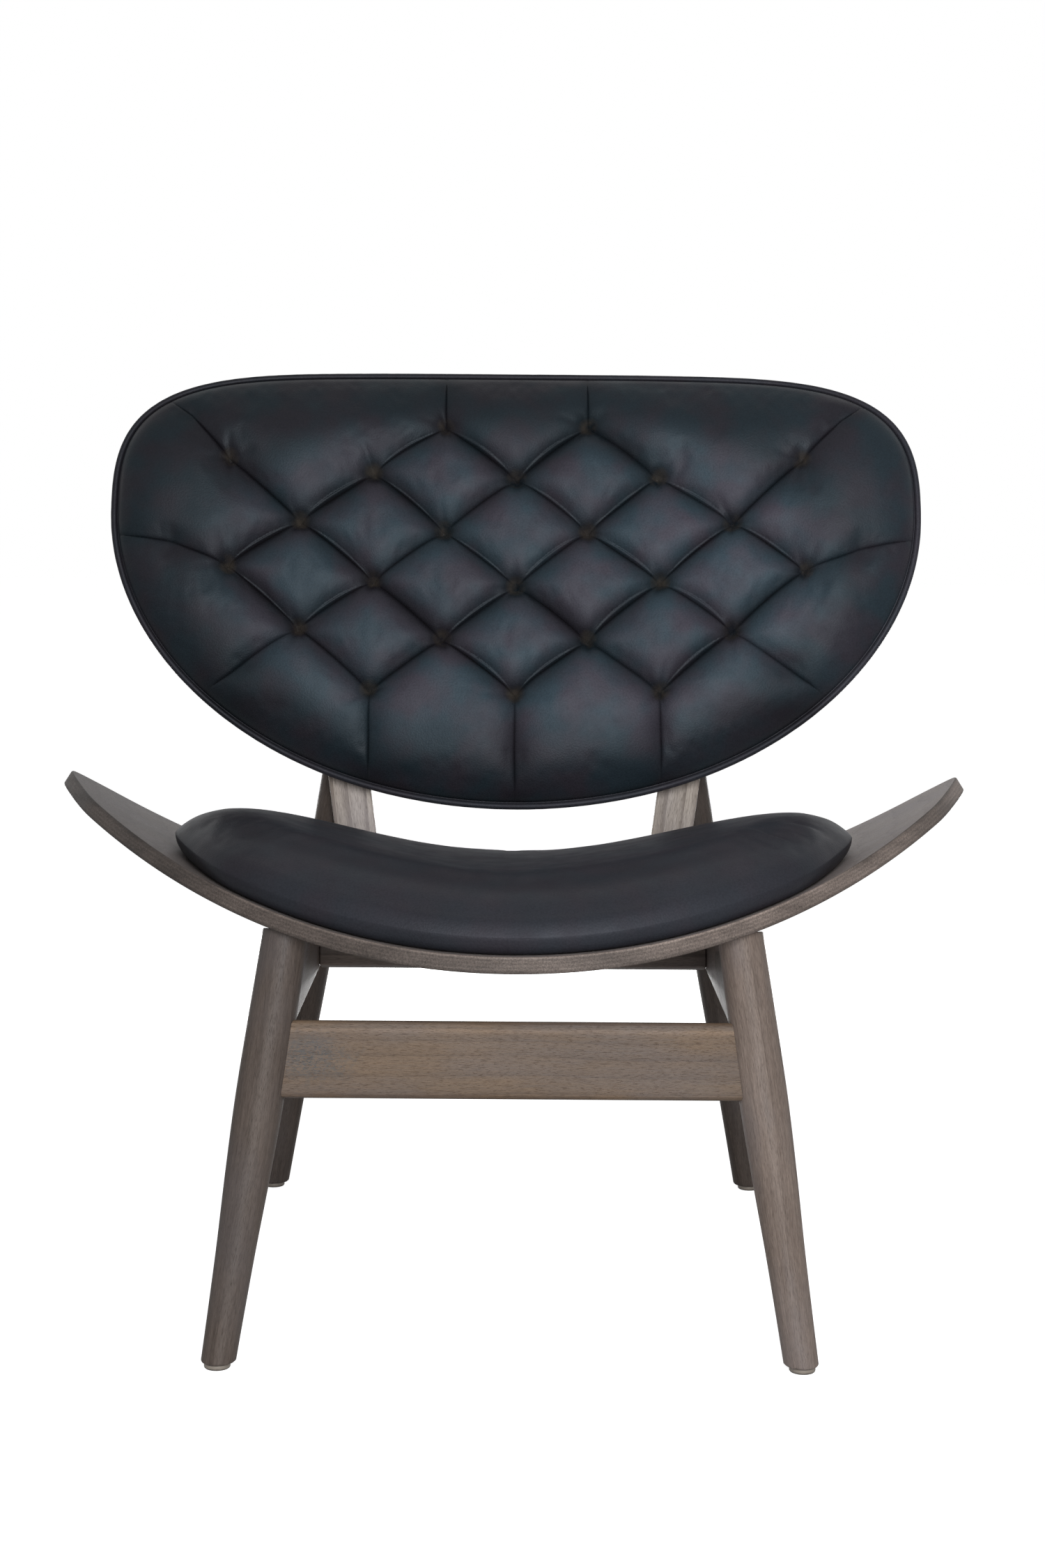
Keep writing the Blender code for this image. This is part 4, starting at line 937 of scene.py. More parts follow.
def make_welt():
    """A tube along the rim, its radius wandering a little."""
    line = inset_outline(back_outline(WELT_RINGS), WELT_RADIUS)
    outward = outward_normals(line)
    crease = np.random.default_rng(21).normal(0, 1, WELT_RINGS)
    crease = sum(np.roll(crease, step) for step in (-1, 0, 1)) / 3
    radius = WELT_RADIUS * (1 - WELT_CREASE * (1 + np.clip(crease, -1, 1)))
    turns = [2 * math.pi * number / WELT_SIDES for number in range(WELT_SIDES)]
    section = [(radius * math.cos(turn), radius * math.sin(turn)) for turn in turns]
    for inward, side in ((0, 1), (FLANGE_WIDTH, 1), (FLANGE_WIDTH, -1), (0, -1)):
        section.append((np.full(WELT_RINGS, -inward), side * FLANGE_THICKNESS / 2))
    points = []
    for out, depth in section:
        flat = line + out[:, None] * outward
        points.append(np.column_stack([flat[:, 0], depth - wrap(line[:, 0]), flat[:, 1]]))
    places = np.stack(points, axis=1).reshape(-1, 3)
    loops = ring_edges(WELT_SIDES) + [(WELT_SIDES + a, WELT_SIDES + b) for a, b in ring_edges(4)]
    faces = []
    for ring, following in ring_edges(WELT_RINGS):
        here, there = ring * len(points), following * len(points)
        faces += [(here + a, here + b, there + b, there + a) for a, b in loops]
    welt = mesh_object("welt", placed(BACK_FRAME, places), faces)
    shade_round(welt, 50)
    return welt


mount_piece(make_welt(), PAD_LEATHER, "leather", "backrest_welt")

# %% [markdown]
# ## Seat pad
#
# The pad is foam on a thin board under one smooth piece of leather, drawn tight over a
# rounded front roll and tucked in below. It is shaped as rings of its outline, each moved
# towards the middle and set at its height over the shell, so it bends with the shell. Its
# top is then settled as cloth, pressed out by the foam and held at the edge, which gives the
# soft fullness that a formula lacks. The leather gathers a little where the outline turns
# tightly, and shows a few slack creases at the right end of the front roll.

# %% Seat pad
PAD_HALF_WIDTH = 0.3165
PAD_FRONT_INSET = 0.004
PAD_REAR_Y = 0.166
PAD_REAR_SWEEP = 0.024
PAD_NOSE_Y = -0.046
PAD_CENTRE = np.array([0, -0.040])
PAD_HEIGHT = 0.0725
PAD_SIDE_HEIGHT = 0.0165
PAD_TUCK = 0.042
TUCK_RINGS = 8
PAD_BASE = 0.0009
PAD_FRONT_NOSE_SHARE, PAD_REAR_NOSE_SHARE = 0.80, 0.60
CROWN_POWER, CROWN_ROUND = 9.0, 0.85
PAD_HOLLOW, PAD_HOLLOW_HALF = 0.0048, 0.21
PAD_END_X, PAD_END_DROP = 0.272, 0.0052
PAD_SECTORS = 480
CROWN_RINGS = 64
CLOTH_SECTORS, CLOTH_STEP, CLOTH_FRONT_Y, CLOTH_REAR_Y = 330, 0.0062, -0.32, 0.20
CLOTH_SHARES = (1.0, 0.994, 0.984, 0.970, 0.953, 0.934, 0.912)
PAD_SLACK, PAD_CAP, PAD_UNSTUFFED = 0.002, 0.0040, 0.0062


def pad_outline(count):
    """The pad in plan, anticlockwise from the middle of its front."""
    turn = np.linspace(0, 2 * math.pi, 4096, endpoint=False)
    x = PAD_HALF_WIDTH * np.sin(turn)
    front = front_edge(x) + PAD_FRONT_INSET - PAD_NOSE_Y
    front = front * nose_depth(x, PAD_HALF_WIDTH, PAD_FRONT_NOSE_SHARE)
    rear = PAD_REAR_Y - PAD_REAR_SWEEP * (x / PAD_HALF_WIDTH) ** 2 - PAD_NOSE_Y
    rear = rear * nose_depth(x, PAD_HALF_WIDTH, PAD_REAR_NOSE_SHARE)
    y = PAD_NOSE_Y + np.where(np.cos(turn) > 0, front, rear)
    return even_outline(np.column_stack([x, y]), count)


def pad_levels():
    """Shares of the outline and heights, from the crown's middle round to the underside."""
    runs = np.linspace(0, 1, CROWN_RINGS)
    shares = np.sin(runs * math.pi / 2) ** 0.8
    levels = list(zip(shares, crown_height(shares)))
    levels += [(1 - PAD_TUCK * (1 - math.cos(turn)),
                PAD_SIDE_HEIGHT - (PAD_SIDE_HEIGHT - PAD_BASE) * math.sin(turn))
               for turn in np.linspace(0, math.pi / 2, TUCK_RINGS + 1)[1:]]
    return levels + [(share, PAD_BASE) for share in (0.80, 0.50, 0.20, 0.0)]


def pad_creases(points, share):
    """Small heights of the gathers and creases, in metres."""
    angle = np.arctan2(points[:, 1] - PAD_NOSE_Y, points[:, 0])
    edge = np.clip((share - 0.90) / 0.08, 0, 1)
    ends = np.exp(-((np.abs(points[:, 0]) - 0.29) / 0.040) ** 2)
    gathers = 0.00016 * edge * ends * np.sin(angle * 62 + 1.4 * np.sin(angle * 9))
    waves = 0.0006 * slow_waves(points, 0.20, 31) * np.clip((1 - share) / 0.2, 0, 1)
    slack = np.zeros(len(points))
    own = np.random.default_rng(12)
    for x, y, turn in ((0.255, -0.150, 0.9), (0.272, -0.128, 0.7), (0.238, -0.168, 1.1),
                       (0.286, -0.105, 0.5), (0.222, -0.186, 1.2)):
        start = np.array([x, y]) + own.uniform(-0.003, 0.003, 2)
        tip = start + 0.042 * np.array([-math.cos(turn), math.sin(turn)])
        run, _ = segment_place(points, start, tip)
        away = segment_distance(points, start, tip)
        slack -= 0.0010 * np.clip(4 * run * (1 - run), 0, 1) * np.exp(-(away / 0.0034) ** 2)
    return waves + (gathers + slack) * np.clip((1 - share) / 0.03, 0, 1)


def pad_heights(plan, height, share, over):
    """The pad's heights above the world's floor, with its hollow middle and lower ends."""
    x, y = plan[:, 0], plan[:, 1]
    raised = np.where(over, (height - PAD_SIDE_HEIGHT).clip(0) / (PAD_HEIGHT - PAD_SIDE_HEIGHT), 0)
    hollow = PAD_HOLLOW * np.cos(np.clip(x / PAD_HOLLOW_HALF, -1, 1) * math.pi / 2) ** 2
    ends = PAD_END_DROP * np.clip((np.abs(x) - PAD_END_X) / (PAD_HALF_WIDTH - PAD_END_X), 0, 1)
    lift = np.where(over, pad_creases(plan, share), 0)
    return shell_top(x, y) + height + lift - raised ** 0.9 * (hollow + ends + PAD_UNSTUFFED)


def crown_height(share):
    """Height of the crown over the shell, at a share of the way to the outline."""
    rise = PAD_HEIGHT - PAD_SIDE_HEIGHT
    return PAD_SIDE_HEIGHT + rise * np.maximum(0, 1 - share ** CROWN_POWER) ** CROWN_ROUND


def pad_cloth():
    """The crown as cloth: its points in plan, its faces and how far each point moves."""
    outline = pad_outline(CLOTH_SECTORS)
    rings = [PAD_CENTRE + share * (outline - PAD_CENTRE) for share in CLOTH_SHARES]
    field = even_field(rings[-1], PAD_HALF_WIDTH, CLOTH_FRONT_Y, CLOTH_REAR_Y, CLOTH_STEP)
    points = np.vstack(rings)
    points = np.vstack([points, spaced_out(field, points, CLOTH_STEP * 0.6)])
    plan, faces = triangulated(points, ring_edges(CLOTH_SECTORS), CLOTH_SECTORS)
    share = outline_share(plan, outline)
    z = pad_heights(plan, crown_height(share), share, np.ones(len(plan), bool))
    places = np.column_stack([plan, z])
    held = np.clip((share - 0.94) / 0.05, 0, 1)
    return plan, places, faces, cloth_shift(places, faces, held, 1 - held, (0, PAD_SLACK), PAD_CAP)


def outline_share(plan, outline):
    """How far towards the outline each point is, seen from the pad's middle: 0 to 1."""
    turn = np.arctan2(*(outline - PAD_CENTRE).T[::-1])
    order = np.argsort(turn)
    reach = np.linalg.norm(outline - PAD_CENTRE, axis=1)[order]
    own = np.arctan2(*(plan - PAD_CENTRE).T[::-1])
    whole = np.interp(own, turn[order], reach, period=2 * math.pi)
    return np.clip(np.linalg.norm(plan - PAD_CENTRE, axis=1) / whole, 0, 1)


def make_pad():
    """The padded seat, closed below."""
    outline = pad_outline(PAD_SECTORS)
    rings = [np.column_stack([PAD_CENTRE + share * (outline - PAD_CENTRE),
                              np.full((PAD_SECTORS, 2), (height, share))])
             for share, height in pad_levels()]
    points = np.vstack([rings[0][:1], *rings[1:-1], rings[-1][:1]])
    plan, height, share = points[:, :2], points[:, 2], points[:, 3]
    over = np.arange(len(points)) <= (CROWN_RINGS - 1) * PAD_SECTORS
    places = np.column_stack([plan, pad_heights(plan, height, share, over)])
    cloth_plan, cloth_places, cloth_faces, shift = pad_cloth()
    moved = carried_over(cloth_plan, point_areas(cloth_places, cloth_faces), shift, plan)
    places += moved * (over * np.clip((1 - share) / 0.05, 0, 1))[:, None]
    faces = ring_faces(len(rings) - 2, PAD_SECTORS, outward=False)
    pad = mesh_object("seat_cushion", places + np.array([0, SHIFT, 0]), faces)
    pad.data.shade_smooth()
    return pad


# %% [markdown]
# ## Seat shell
#
# The shell is one sheet of plywood bent in a press, with wings that rise at the sides. It
# could be a curved plane thickened by a modifier, but its tips need an even, round nose.
# So a grid is laid over its outline in plan and each point gets the press's curve, on the
# underside and, a sheet's thickness away along the normal, on the top. The rim between
# them is rounded over a few small steps.

# %% Shell shape
SHELL_HALF_SPAN = 0.4445
SHELL_THICKNESS = 0.015
SHELL_FRONT_Y = -0.269
SHELL_REAR_Y = 0.185
SHELL_TIP_Y = 0.092
SHELL_FRONT_HEIGHT = 0.3455
WING_HEIGHT = 0.1423
FRONT_SWEEP, FRONT_POWER = 0.317, 2.5
REAR_SWEEP, REAR_POWER = 0.0729, 1.6
NOSE_SHARE, NOSE_BLUNT_SHARE = 0.905, 0.993
SEAT_RAKE = math.radians(4.0)
SHELL_COLUMNS, SHELL_ROWS = 200, 64
SHELL_EASE = 0.0014
EASE_STEPS = 4


def shell_under(x, y):
    """Height of the shell's underside."""
    dish = WING_HEIGHT * (x / SHELL_HALF_SPAN) ** 2
    return SHELL_FRONT_HEIGHT + dish - math.tan(SEAT_RAKE) * (y - SHELL_FRONT_Y)


def shell_slope(x):
    """How steeply the shell rises sideways at x."""
    return 2 * WING_HEIGHT * x / SHELL_HALF_SPAN ** 2


def shell_top(x, y):
    """Height of the shell's upper face."""
    return shell_under(x, y) + SHELL_THICKNESS * np.hypot(1, shell_slope(x))


def front_edge(x):
    """Front edge of the shell in plan, before its tips are rounded."""
    return SHELL_FRONT_Y + FRONT_SWEEP * (np.abs(x) / SHELL_HALF_SPAN) ** FRONT_POWER


def rear_edge(x):
    """Rear edge of the shell in plan, before its tips are rounded."""
    return SHELL_REAR_Y - REAR_SWEEP * (np.abs(x) / SHELL_HALF_SPAN) ** REAR_POWER


def nose_depth(x, half, start_share, blunt_share=1.0):
    """Share of the depth that is left at x where an end is rounded as an ellipse."""
    run = np.clip((np.abs(x) / half - start_share) / (1 - start_share), 0, 1)
    return np.sqrt(1 - blunt_share * run ** 2)


def shell_normals(x):
    """Upward unit normals of the shell at x."""
    normals = np.column_stack([-shell_slope(x), np.full(len(x), math.tan(SEAT_RAKE)),
                               np.ones(len(x))])
    return normals / np.linalg.norm(normals, axis=1)[:, None]


def shell_plan(inset):
    """The shell's outline points in plan over the grid, its edges moved in by an inset."""
    u = np.linspace(-1, 1, SHELL_COLUMNS + 1)
    half = SHELL_HALF_SPAN - inset
    x = half * np.sin(math.pi / 2 * u)
    full_x = x * SHELL_HALF_SPAN / half
    left = nose_depth(full_x, SHELL_HALF_SPAN, NOSE_SHARE, NOSE_BLUNT_SHARE)
    front = SHELL_TIP_Y + (front_edge(full_x) - SHELL_TIP_Y) * left + inset
    rear = SHELL_TIP_Y + (rear_edge(full_x) - SHELL_TIP_Y) * left - inset
    v = np.linspace(0, 1, SHELL_ROWS + 1)
    y = front[:, None] + (rear - front)[:, None] * v[None, :]
    return np.repeat(x, SHELL_ROWS + 1), y.ravel()


def shell_layer(inset, height_share):
    """Points of the shell's grid at a share of its thickness."""
    x, y = shell_plan(inset)
    base = np.column_stack([x, y, shell_under(x, y)])
    return base + height_share * SHELL_THICKNESS * shell_normals(x)


def rim_order():
    """Grid numbers round the edge of the shell."""
    row = SHELL_ROWS + 1
    front = [column * row for column in range(SHELL_COLUMNS + 1)]
    right = [SHELL_COLUMNS * row + step for step in range(1, SHELL_ROWS)]
    rear = [column * row + SHELL_ROWS for column in range(SHELL_COLUMNS, -1, -1)]
    left = [step for step in range(SHELL_ROWS - 1, 0, -1)]
    return front + right + rear + left


def make_shell():
    """Top and bottom grids joined by a rounded rim."""
    ease_share = SHELL_EASE / SHELL_THICKNESS
    bottom, top = shell_layer(SHELL_EASE, 0.0), shell_layer(SHELL_EASE, 1.0)
    order = rim_order()
    turns = [math.pi / 2 * step / EASE_STEPS for step in range(1, EASE_STEPS + 1)]
    levels = [(SHELL_EASE * (1 - math.sin(t)), ease_share * (1 - math.cos(t))) for t in turns]
    steps_up = np.linspace(ease_share, 1 - ease_share, 9)[1:-1]
    levels += [(0.0, share) for share in steps_up]
    levels += [(SHELL_EASE * (1 - math.sin(t)), 1 - ease_share * (1 - math.cos(t)))
               for t in reversed(turns)]
    rings = [shell_layer(inset, share)[order] for inset, share in levels]
    points = np.vstack([bottom, top, *rings])
    shares = np.concatenate([np.zeros(len(bottom)), np.ones(len(top))]
                            + [np.full(len(order), share) for _, share in levels])
    sides = np.concatenate([np.zeros(len(bottom) + len(top)), np.ones(len(order) * len(rings))])
    row = SHELL_ROWS + 1
    faces = []
    for column in range(SHELL_COLUMNS):
        for step in range(SHELL_ROWS):
            a, b = column * row + step, (column + 1) * row + step
            faces.append((a, a + 1, b + 1, b))
            faces.append(tuple(i + len(bottom) for i in (a, b, b + 1, a + 1)))
    loops = [list(order)]
    first = len(bottom) + len(top)
    for number in range(len(rings)):
        loops.append(list(range(first + number * len(order), first + (number + 1) * len(order))))
    loops.append([i + len(bottom) for i in order])
    for low, high in zip(loops, loops[1:]):
        for i in range(len(order)):
            j = (i + 1) % len(order)
            faces.append((low[i], low[j], high[j], high[i]))
    points[:, 1] += SHIFT
    shell = mesh_object("bent_shell", points, faces)
    store(shell, "height_share", shares)
    store(shell, "on_edge", sides)
    with edited(shell.data) as bm:
        bmesh.ops.remove_doubles(bm, verts=bm.verts, dist=1e-6)
        bmesh.ops.recalc_face_normals(bm, faces=bm.faces)
    shade_round(shell, 50)
    return shell


bent_shell = make_shell()

# %% [markdown]
# ## Wood
#
# The wood is stained a grey brown, and the stain settles in the pores. Grain follows each
# piece's length, so every finish gets the frame of its piece: local Z runs along the grain.
# Three noises make it, stretched along the grain: broad bands of the growth rings, fine
# streaks, and short dark pores. They also drive the bump and the gloss.

# %% Knots, and painted light and shade on board edges
KNOT_TONE, KNOT_SCALE = (0.050, 0.052, 0.054, 1), (24, 24, 42)


def knotted(tree, world, colour, knot):
    """A colour with the dark swirls of a knot."""
    away = mapped(tree, world, KNOT_SCALE, [-scale * at for scale, at in zip(KNOT_SCALE, knot)])
    away = add_node(tree, "VectorMath", {0: away}, operation="LENGTH").outputs["Value"]
    cloud = calculate(tree, "MULTIPLY_ADD", noise(tree, world, 70.0, 4.0, 0.65, 1.5), 1.5, away)
    swirl = noise(tree, mapped(tree, world, (130, 130, 320)), 1.0, 4.0, 0.7, 2.5)
    inside = product(tree, spread(tree, cloud, 0.9, 1.9, 1.0, 0.0),
                     spread(tree, swirl, 0.44, 0.56, 0.10, 1.0))
    return colour_mix(tree, inside, colour, KNOT_TONE)


def painted_edge_light(tree, world, colour, low, high):
    """A board's colour with painted shade at its lower and upper edges and a painted highlight just
    under the upper.
    """
    height = add_node(tree, "SeparateXYZ", {0: world}).outputs["Z"]
    return shaded(tree, colour, spread(tree, height, low, low + 0.0065, 0.62, 1.0),
                  spread(tree, height, high - 0.0055, high - 0.0025, 1.0, 1.4),
                  spread(tree, height, high - 0.0017, high, 1.0, 0.68))


# %% Wood finish
def stained_wood(name, grain_frame, pale, dark, seed=0.0, figure=0.3, gloss=0.50, knot=None,
                 edges=None):
    """Stained wood whose grain runs along the frame's local Z."""
    material, tree, shader = new_finish(name, gloss, 0.18)
    world = add_node(tree, "TexCoord").outputs["Object"]
    to_piece = grain_frame.inverted()
    local = mapped(tree, world, (1, 1, 1), to_piece.translation, to_piece.to_euler())
    local = mapped(tree, local, (1, 1, 1), (seed * 3.1, seed * 1.7, seed * 5.3))
    wander = add_node(tree, "TexNoise", {"Vector": mapped(tree, local, (11, 11, 3.0)),
                                         "Scale": 1.0, "Detail": 2.0})
    shift = add_node(tree, "VectorMath", {0: wander.outputs["Color"], 1: (0.022, 0.022, 0.0)},
                     operation="MULTIPLY").outputs[0]
    bent = add_node(tree, "VectorMath", {0: local, 1: shift}, operation="ADD").outputs[0]
    rings = add_node(tree, "TexWave", {"Vector": mapped(tree, bent, (1, 0.55, 0.03)),
                                       "Scale": 19.0, "Distortion": 3.0, "Detail": 2.0,
                                       "Detail Scale": 2.2, "Detail Roughness": 0.6},
                     wave_type="BANDS", bands_direction="X", wave_profile="SAW").outputs["Fac"]
    streaks = noise(tree, mapped(tree, bent, (420, 420, 11)), 1.0, 5.0, 0.66)
    broad = noise(tree, mapped(tree, local, (22, 22, 5)), 1.0, 4.0, 0.6)
    fibre = noise(tree, mapped(tree, bent, (1300, 1300, 120)), 1.0, 2.0, 0.6)
    pore = noise(tree, mapped(tree, bent, (2300, 2300, 170)), 1.0, 1.0)
    pore = spread(tree, pore, 0.60, 0.70)
    tone = product(tree, fibre, 0.50)
    late = calculate(tree, "POWER", rings, 5.0)
    for layer, share in ((broad, 0.45), (streaks, 0.55), (late, -figure)):
        tone = calculate(tree, "MULTIPLY_ADD", layer, share, tone)
    colour = colour_mix(tree, spread(tree, tone, 0.53, 0.95), (*dark, 1), (*pale, 1))
    cool = noise(tree, mapped(tree, local, (30, 30, 9), (4, 2, 7)), 1.0)
    grey = sum(pale) / 3
    colour = colour_mix(tree, product(tree, spread(tree, cool, 0.42, 0.66), 0.30), colour,
                        (grey * 0.86, grey * 0.80, grey * 0.86, 1))
    if knot is not None:
        colour = knotted(tree, world, colour, knot)
    # Painted shade and highlight along a board's edges, when they are given.
    if edges is not None:
        colour = painted_edge_light(tree, world, colour, *edges)
    colour = colour_mix(tree, product(tree, pore, 0.38), colour, (*[c * 0.38 for c in dark], 1))
    tree.links.new(colour, shader.inputs["Base Color"])
    rough = spread(tree, streaks, 0.3, 0.7, gloss - 0.07, gloss + 0.09)
    tree.links.new(calculate(tree, "MULTIPLY_ADD", pore, 0.15, rough), shader.inputs["Roughness"])
    relief = calculate(tree, "MULTIPLY_ADD", pore, -0.9, product(tree, fibre, 0.6))
    bumped(tree, shader, relief, 0.00016, 0.6)
    return material


GREY_PALE = (0.208, 0.165, 0.142)
GREY_DARK = (0.086, 0.065, 0.054)
ALONG_X = Matrix.Rotation(math.pi / 2, 4, "Y")
# Painted shade for each leg: the front right leg is lightest, and the others are darker as they
# stand in more shade.
LEG_SHADE = {("front", "left"): 0.45, ("front", "right"): 0.94, ("rear", "left"): 0.45,
             ("rear", "right"): 0.34}

# %% [markdown]
# The shell's faces show one veneer. Its rim shows the cut plies as thin lines, pale and dark
# in turn, and the stain sits unevenly on the cut fibres. The mesh knows where the rim is and
# how high each point is in the sheet, and the finish reads both.

# %% Plywood finish
PLIES = 9
CUT_PLIES = (0.074, 0.060, 0.053, 1)


def plywood_rim(material):
    """Adds the cut plies to the rim of a veneer finish, and painted light that grows towards the
    chair's right.
    """
    tree = material.node_tree
    base = tree.nodes["Principled BSDF"].inputs["Base Color"]
    face = base.links[0].from_socket
    place = add_node(tree, "TexCoord").outputs["Object"]
    across = add_node(tree, "SeparateXYZ", {0: place}).outputs["X"]
    height, rim = attribute(tree, "height_share"), attribute(tree, "on_edge")
    layer = calculate(tree, "MULTIPLY_ADD", height, PLIES * math.pi,
                      product(tree, noise(tree, place, 30.0), 0.9))
    patch = noise(tree, mapped(tree, place, (11, 11, 60)), 1.0, 3.0, 0.6)
    # Painted highlight along the top of the rim in the middle, and painted shade there towards the
    # wings.
    rim_top_light = spread(tree, calculate(tree, "ABSOLUTE", across), 0.22, 0.34, 1.7, 0.55)
    top = add_node(tree, "Mix", {0: spread(tree, height, 0.82, 0.96), 2: 1.0, 3: rim_top_light})
    cut = shaded(tree, CUT_PLIES,
                 spread(tree, calculate(tree, "SINE", layer), -0.5, 0.7, 0.88, 1.06),
                 spread(tree, noise(tree, place, 700.0, 3.0, 0.7), 0.38, 0.62, 0.70, 1.30),
                 spread(tree, patch, 0.35, 0.65, 0.68, 1.32),
                 spread(tree, height, 0.0, 0.22, 0.55, 1.0), top.outputs[0])
    # Painted light and shade: the whole sheet lighter towards the chair's right, darker towards its
    # left.
    painted_side_light = spread(tree, across, -0.40, 0.40, 0.62, 1.72)
    tree.links.new(shaded(tree, colour_mix(tree, rim, face, cut), painted_side_light), base)
    return material


SHELL_PLY = plywood_rim(stained_wood("shell_veneer", ALONG_X, (0.200, 0.176, 0.166),
                                     (0.098, 0.084, 0.080), seed=0.4, figure=0.10))
mount_piece(bent_shell, SHELL_PLY, "plywood", "seat_shell")

# %% Seat pad in place
seat_cushion = make_pad()
mount_piece(seat_cushion, PAD_LEATHER, "leather", "seat_pad_cover", "seat_pad_foam")

# %% [markdown]
# ## Legs
#
# Each leg is turned on a lathe: thickest under the seat, and tapered to the foot. A profile
# is spun about the leg's axis in many steps, the foot is cut level with the floor, and its
# edge is rounded so that it doesn't splinter. The rear legs run up behind the backrest,
# where their fronts are cut flat for the posts.

# %% Legs
LEG_RADIUS = 0.0214
LEG_PROFILE = ((0.0, 0.70), (0.14, 0.75), (0.27, 0.81), (0.43, 0.92), (0.60, 1.0),
               (0.80, 0.985), (1.0, 0.95))
FRONT_LEG_TOP = Vector((0.201, -0.194, 0.368))
REAR_FOOT = Vector((0.2575, 0.287, 0.0))
REAR_LEG_TOP = Vector((0.170, 0.2579, 0.520))
FOOT_HEIGHT = 0.0053
LEG_SIDES = 72
LEG_ROWS = 90
TOP_EASE, FOOT_EASE = 0.0012, 0.002
POST_WIDTH = 0.042
POST_THICKNESS = 0.018
POST_FRONT = REAR_DEPTH + GAP
POST_REAR = POST_FRONT + POST_THICKNESS
POST_X = 0.167
POST_SPLAY = math.radians(8.25)
UPPER_BOLT_V, LOWER_BOLT_V = 0.140, 0.070
SEAT_IN_LEG = 0.0175
UPPER_SEAT, LOWER_SEAT = POST_REAR + GAP, POST_REAR + 2 * GAP + SEAT_IN_LEG
BOLT_RECESS = 0.007


def smooth_profile(share):
    """Radius share of a leg at a share of its length: a smooth curve through the profile."""
    stops = np.array([stop for stop, _ in LEG_PROFILE])
    sizes = np.array([size for _, size in LEG_PROFILE])
    slopes = np.gradient(sizes, stops)
    i = int(np.clip(np.searchsorted(stops, share, side="right") - 1, 0, len(stops) - 2))
    width = stops[i + 1] - stops[i]
    t = (share - stops[i]) / width
    return ((2 * t ** 3 - 3 * t ** 2 + 1) * sizes[i] + (t ** 3 - 2 * t ** 2 + t) * width * slopes[i]
            + (3 * t ** 2 - 2 * t ** 3) * sizes[i + 1] + (t ** 3 - t ** 2) * width * slopes[i + 1])


def leg_frame(foot, top):
    """Foot at the origin, +Z towards the top."""
    lean = (top - foot).to_track_quat("Z", "Y").to_matrix().to_4x4()
    return Matrix.Translation(foot + Vector((0, SHIFT, 0))) @ lean


def turned_points(profile, sides):
    """Rings of points round +Z from (radius, height) pairs, ends closed by centre points."""
    points = [(0, 0, profile[0][1])]
    for radius, height in profile:
        for number in range(sides):
            turn = 2 * math.pi * number / sides
            points.append((radius * math.cos(turn), radius * math.sin(turn), height))
    points.append((0, 0, profile[-1][1]))
    return points, ring_faces(len(profile), sides)


def cut_away(piece, tool):
    """Subtracts a tool from a piece and drops the tool."""
    cut = piece.modifiers.new("cut", "BOOLEAN")
    cut.operation, cut.solver, cut.object = "DIFFERENCE", "EXACT", tool
    settle(piece)
    bpy.data.objects.remove(tool)


def turned_leg(name, foot, top):
    """A leg in its own frame, its foot cut level and its edges rounded."""
    length = (top - foot).length
    place = leg_frame(foot, top)
    shares = np.linspace(0, 1 - TOP_EASE / length, LEG_ROWS)
    profile = [(LEG_RADIUS * smooth_profile(share), share * length) for share in shares]
    profile.insert(0, (profile[0][0], -LEG_RADIUS))
    crest = LEG_RADIUS * smooth_profile(1.0)
    profile += [(crest - TOP_EASE * (1 - math.cos(t)), length - TOP_EASE * (1 - math.sin(t)))
                for t in (math.pi / 6, math.pi / 3, math.pi / 2)]
    points, faces = turned_points(profile, LEG_SIDES)
    leg = mesh_object(name, points, faces)
    to_leg = place.inverted()
    with edited(leg.data) as bm:
        cut = bmesh.ops.bisect_plane(
            bm, geom=bm.verts[:] + bm.edges[:] + bm.faces[:], clear_inner=True,
            plane_co=to_leg @ Vector((foot.x, foot.y + SHIFT, FOOT_HEIGHT)),
            plane_no=to_leg.to_3x3() @ Vector((0, 0, 1)))
        rim = [item for item in cut["geom_cut"] if isinstance(item, bmesh.types.BMEdge)]
        bmesh.ops.contextual_create(bm, geom=rim)
        bmesh.ops.bevel(bm, geom=rim, offset=FOOT_EASE, segments=3, profile=0.5, affect="EDGES")
        bmesh.ops.recalc_face_normals(bm, faces=bm.faces)
    leg.matrix_world = place
    return leg, place


def box_object(name, size, place, ease=0.0, segments=3):
    """A board with rounded arrises, its size in its mesh."""
    made = mesh_object(name, [], [])
    with edited(made.data) as bm:
        bmesh.ops.create_cube(bm, size=1)
        bmesh.ops.scale(bm, vec=Vector(size), verts=bm.verts)
        if ease:
            bmesh.ops.bevel(bm, geom=bm.edges[:], offset=ease, segments=segments, profile=0.5,
                            affect="EDGES")
    made.matrix_world = place
    return made


def flat_cutter():
    """The block that cuts the front of both rear legs flat."""
    wide, deep, tall = 0.7, 0.09, 0.34
    place = BACK_FRAME @ Matrix.Translation((0, POST_REAR + GAP - deep / 2, tall / 2 - POST_WIDTH))
    return box_object("leg_flat", (wide, deep, tall), place)


def post_x(v):
    """X of the right post's middle line at V."""
    return POST_X + math.tan(POST_SPLAY) * v


def facing_forward(x, n, v):
    """A place on the leaning frame whose +Z points forward through the thickness."""
    return BACK_FRAME @ Matrix.Translation((x, n, v)) @ Matrix.Rotation(math.pi / 2, 4, "X")


def bolt_recess(side):
    """The round recess behind a rear leg, where the lower bolt's head sits."""
    depth = 2 * LEG_RADIUS
    points, faces = turned_points([(BOLT_RECESS, 0.0), (BOLT_RECESS, -depth)][::-1], 40)
    recess = mesh_object("recess", points, faces)
    recess.matrix_world = facing_forward(post_x(LOWER_BOLT_V) * side, LOWER_SEAT, LOWER_BOLT_V)
    return recess


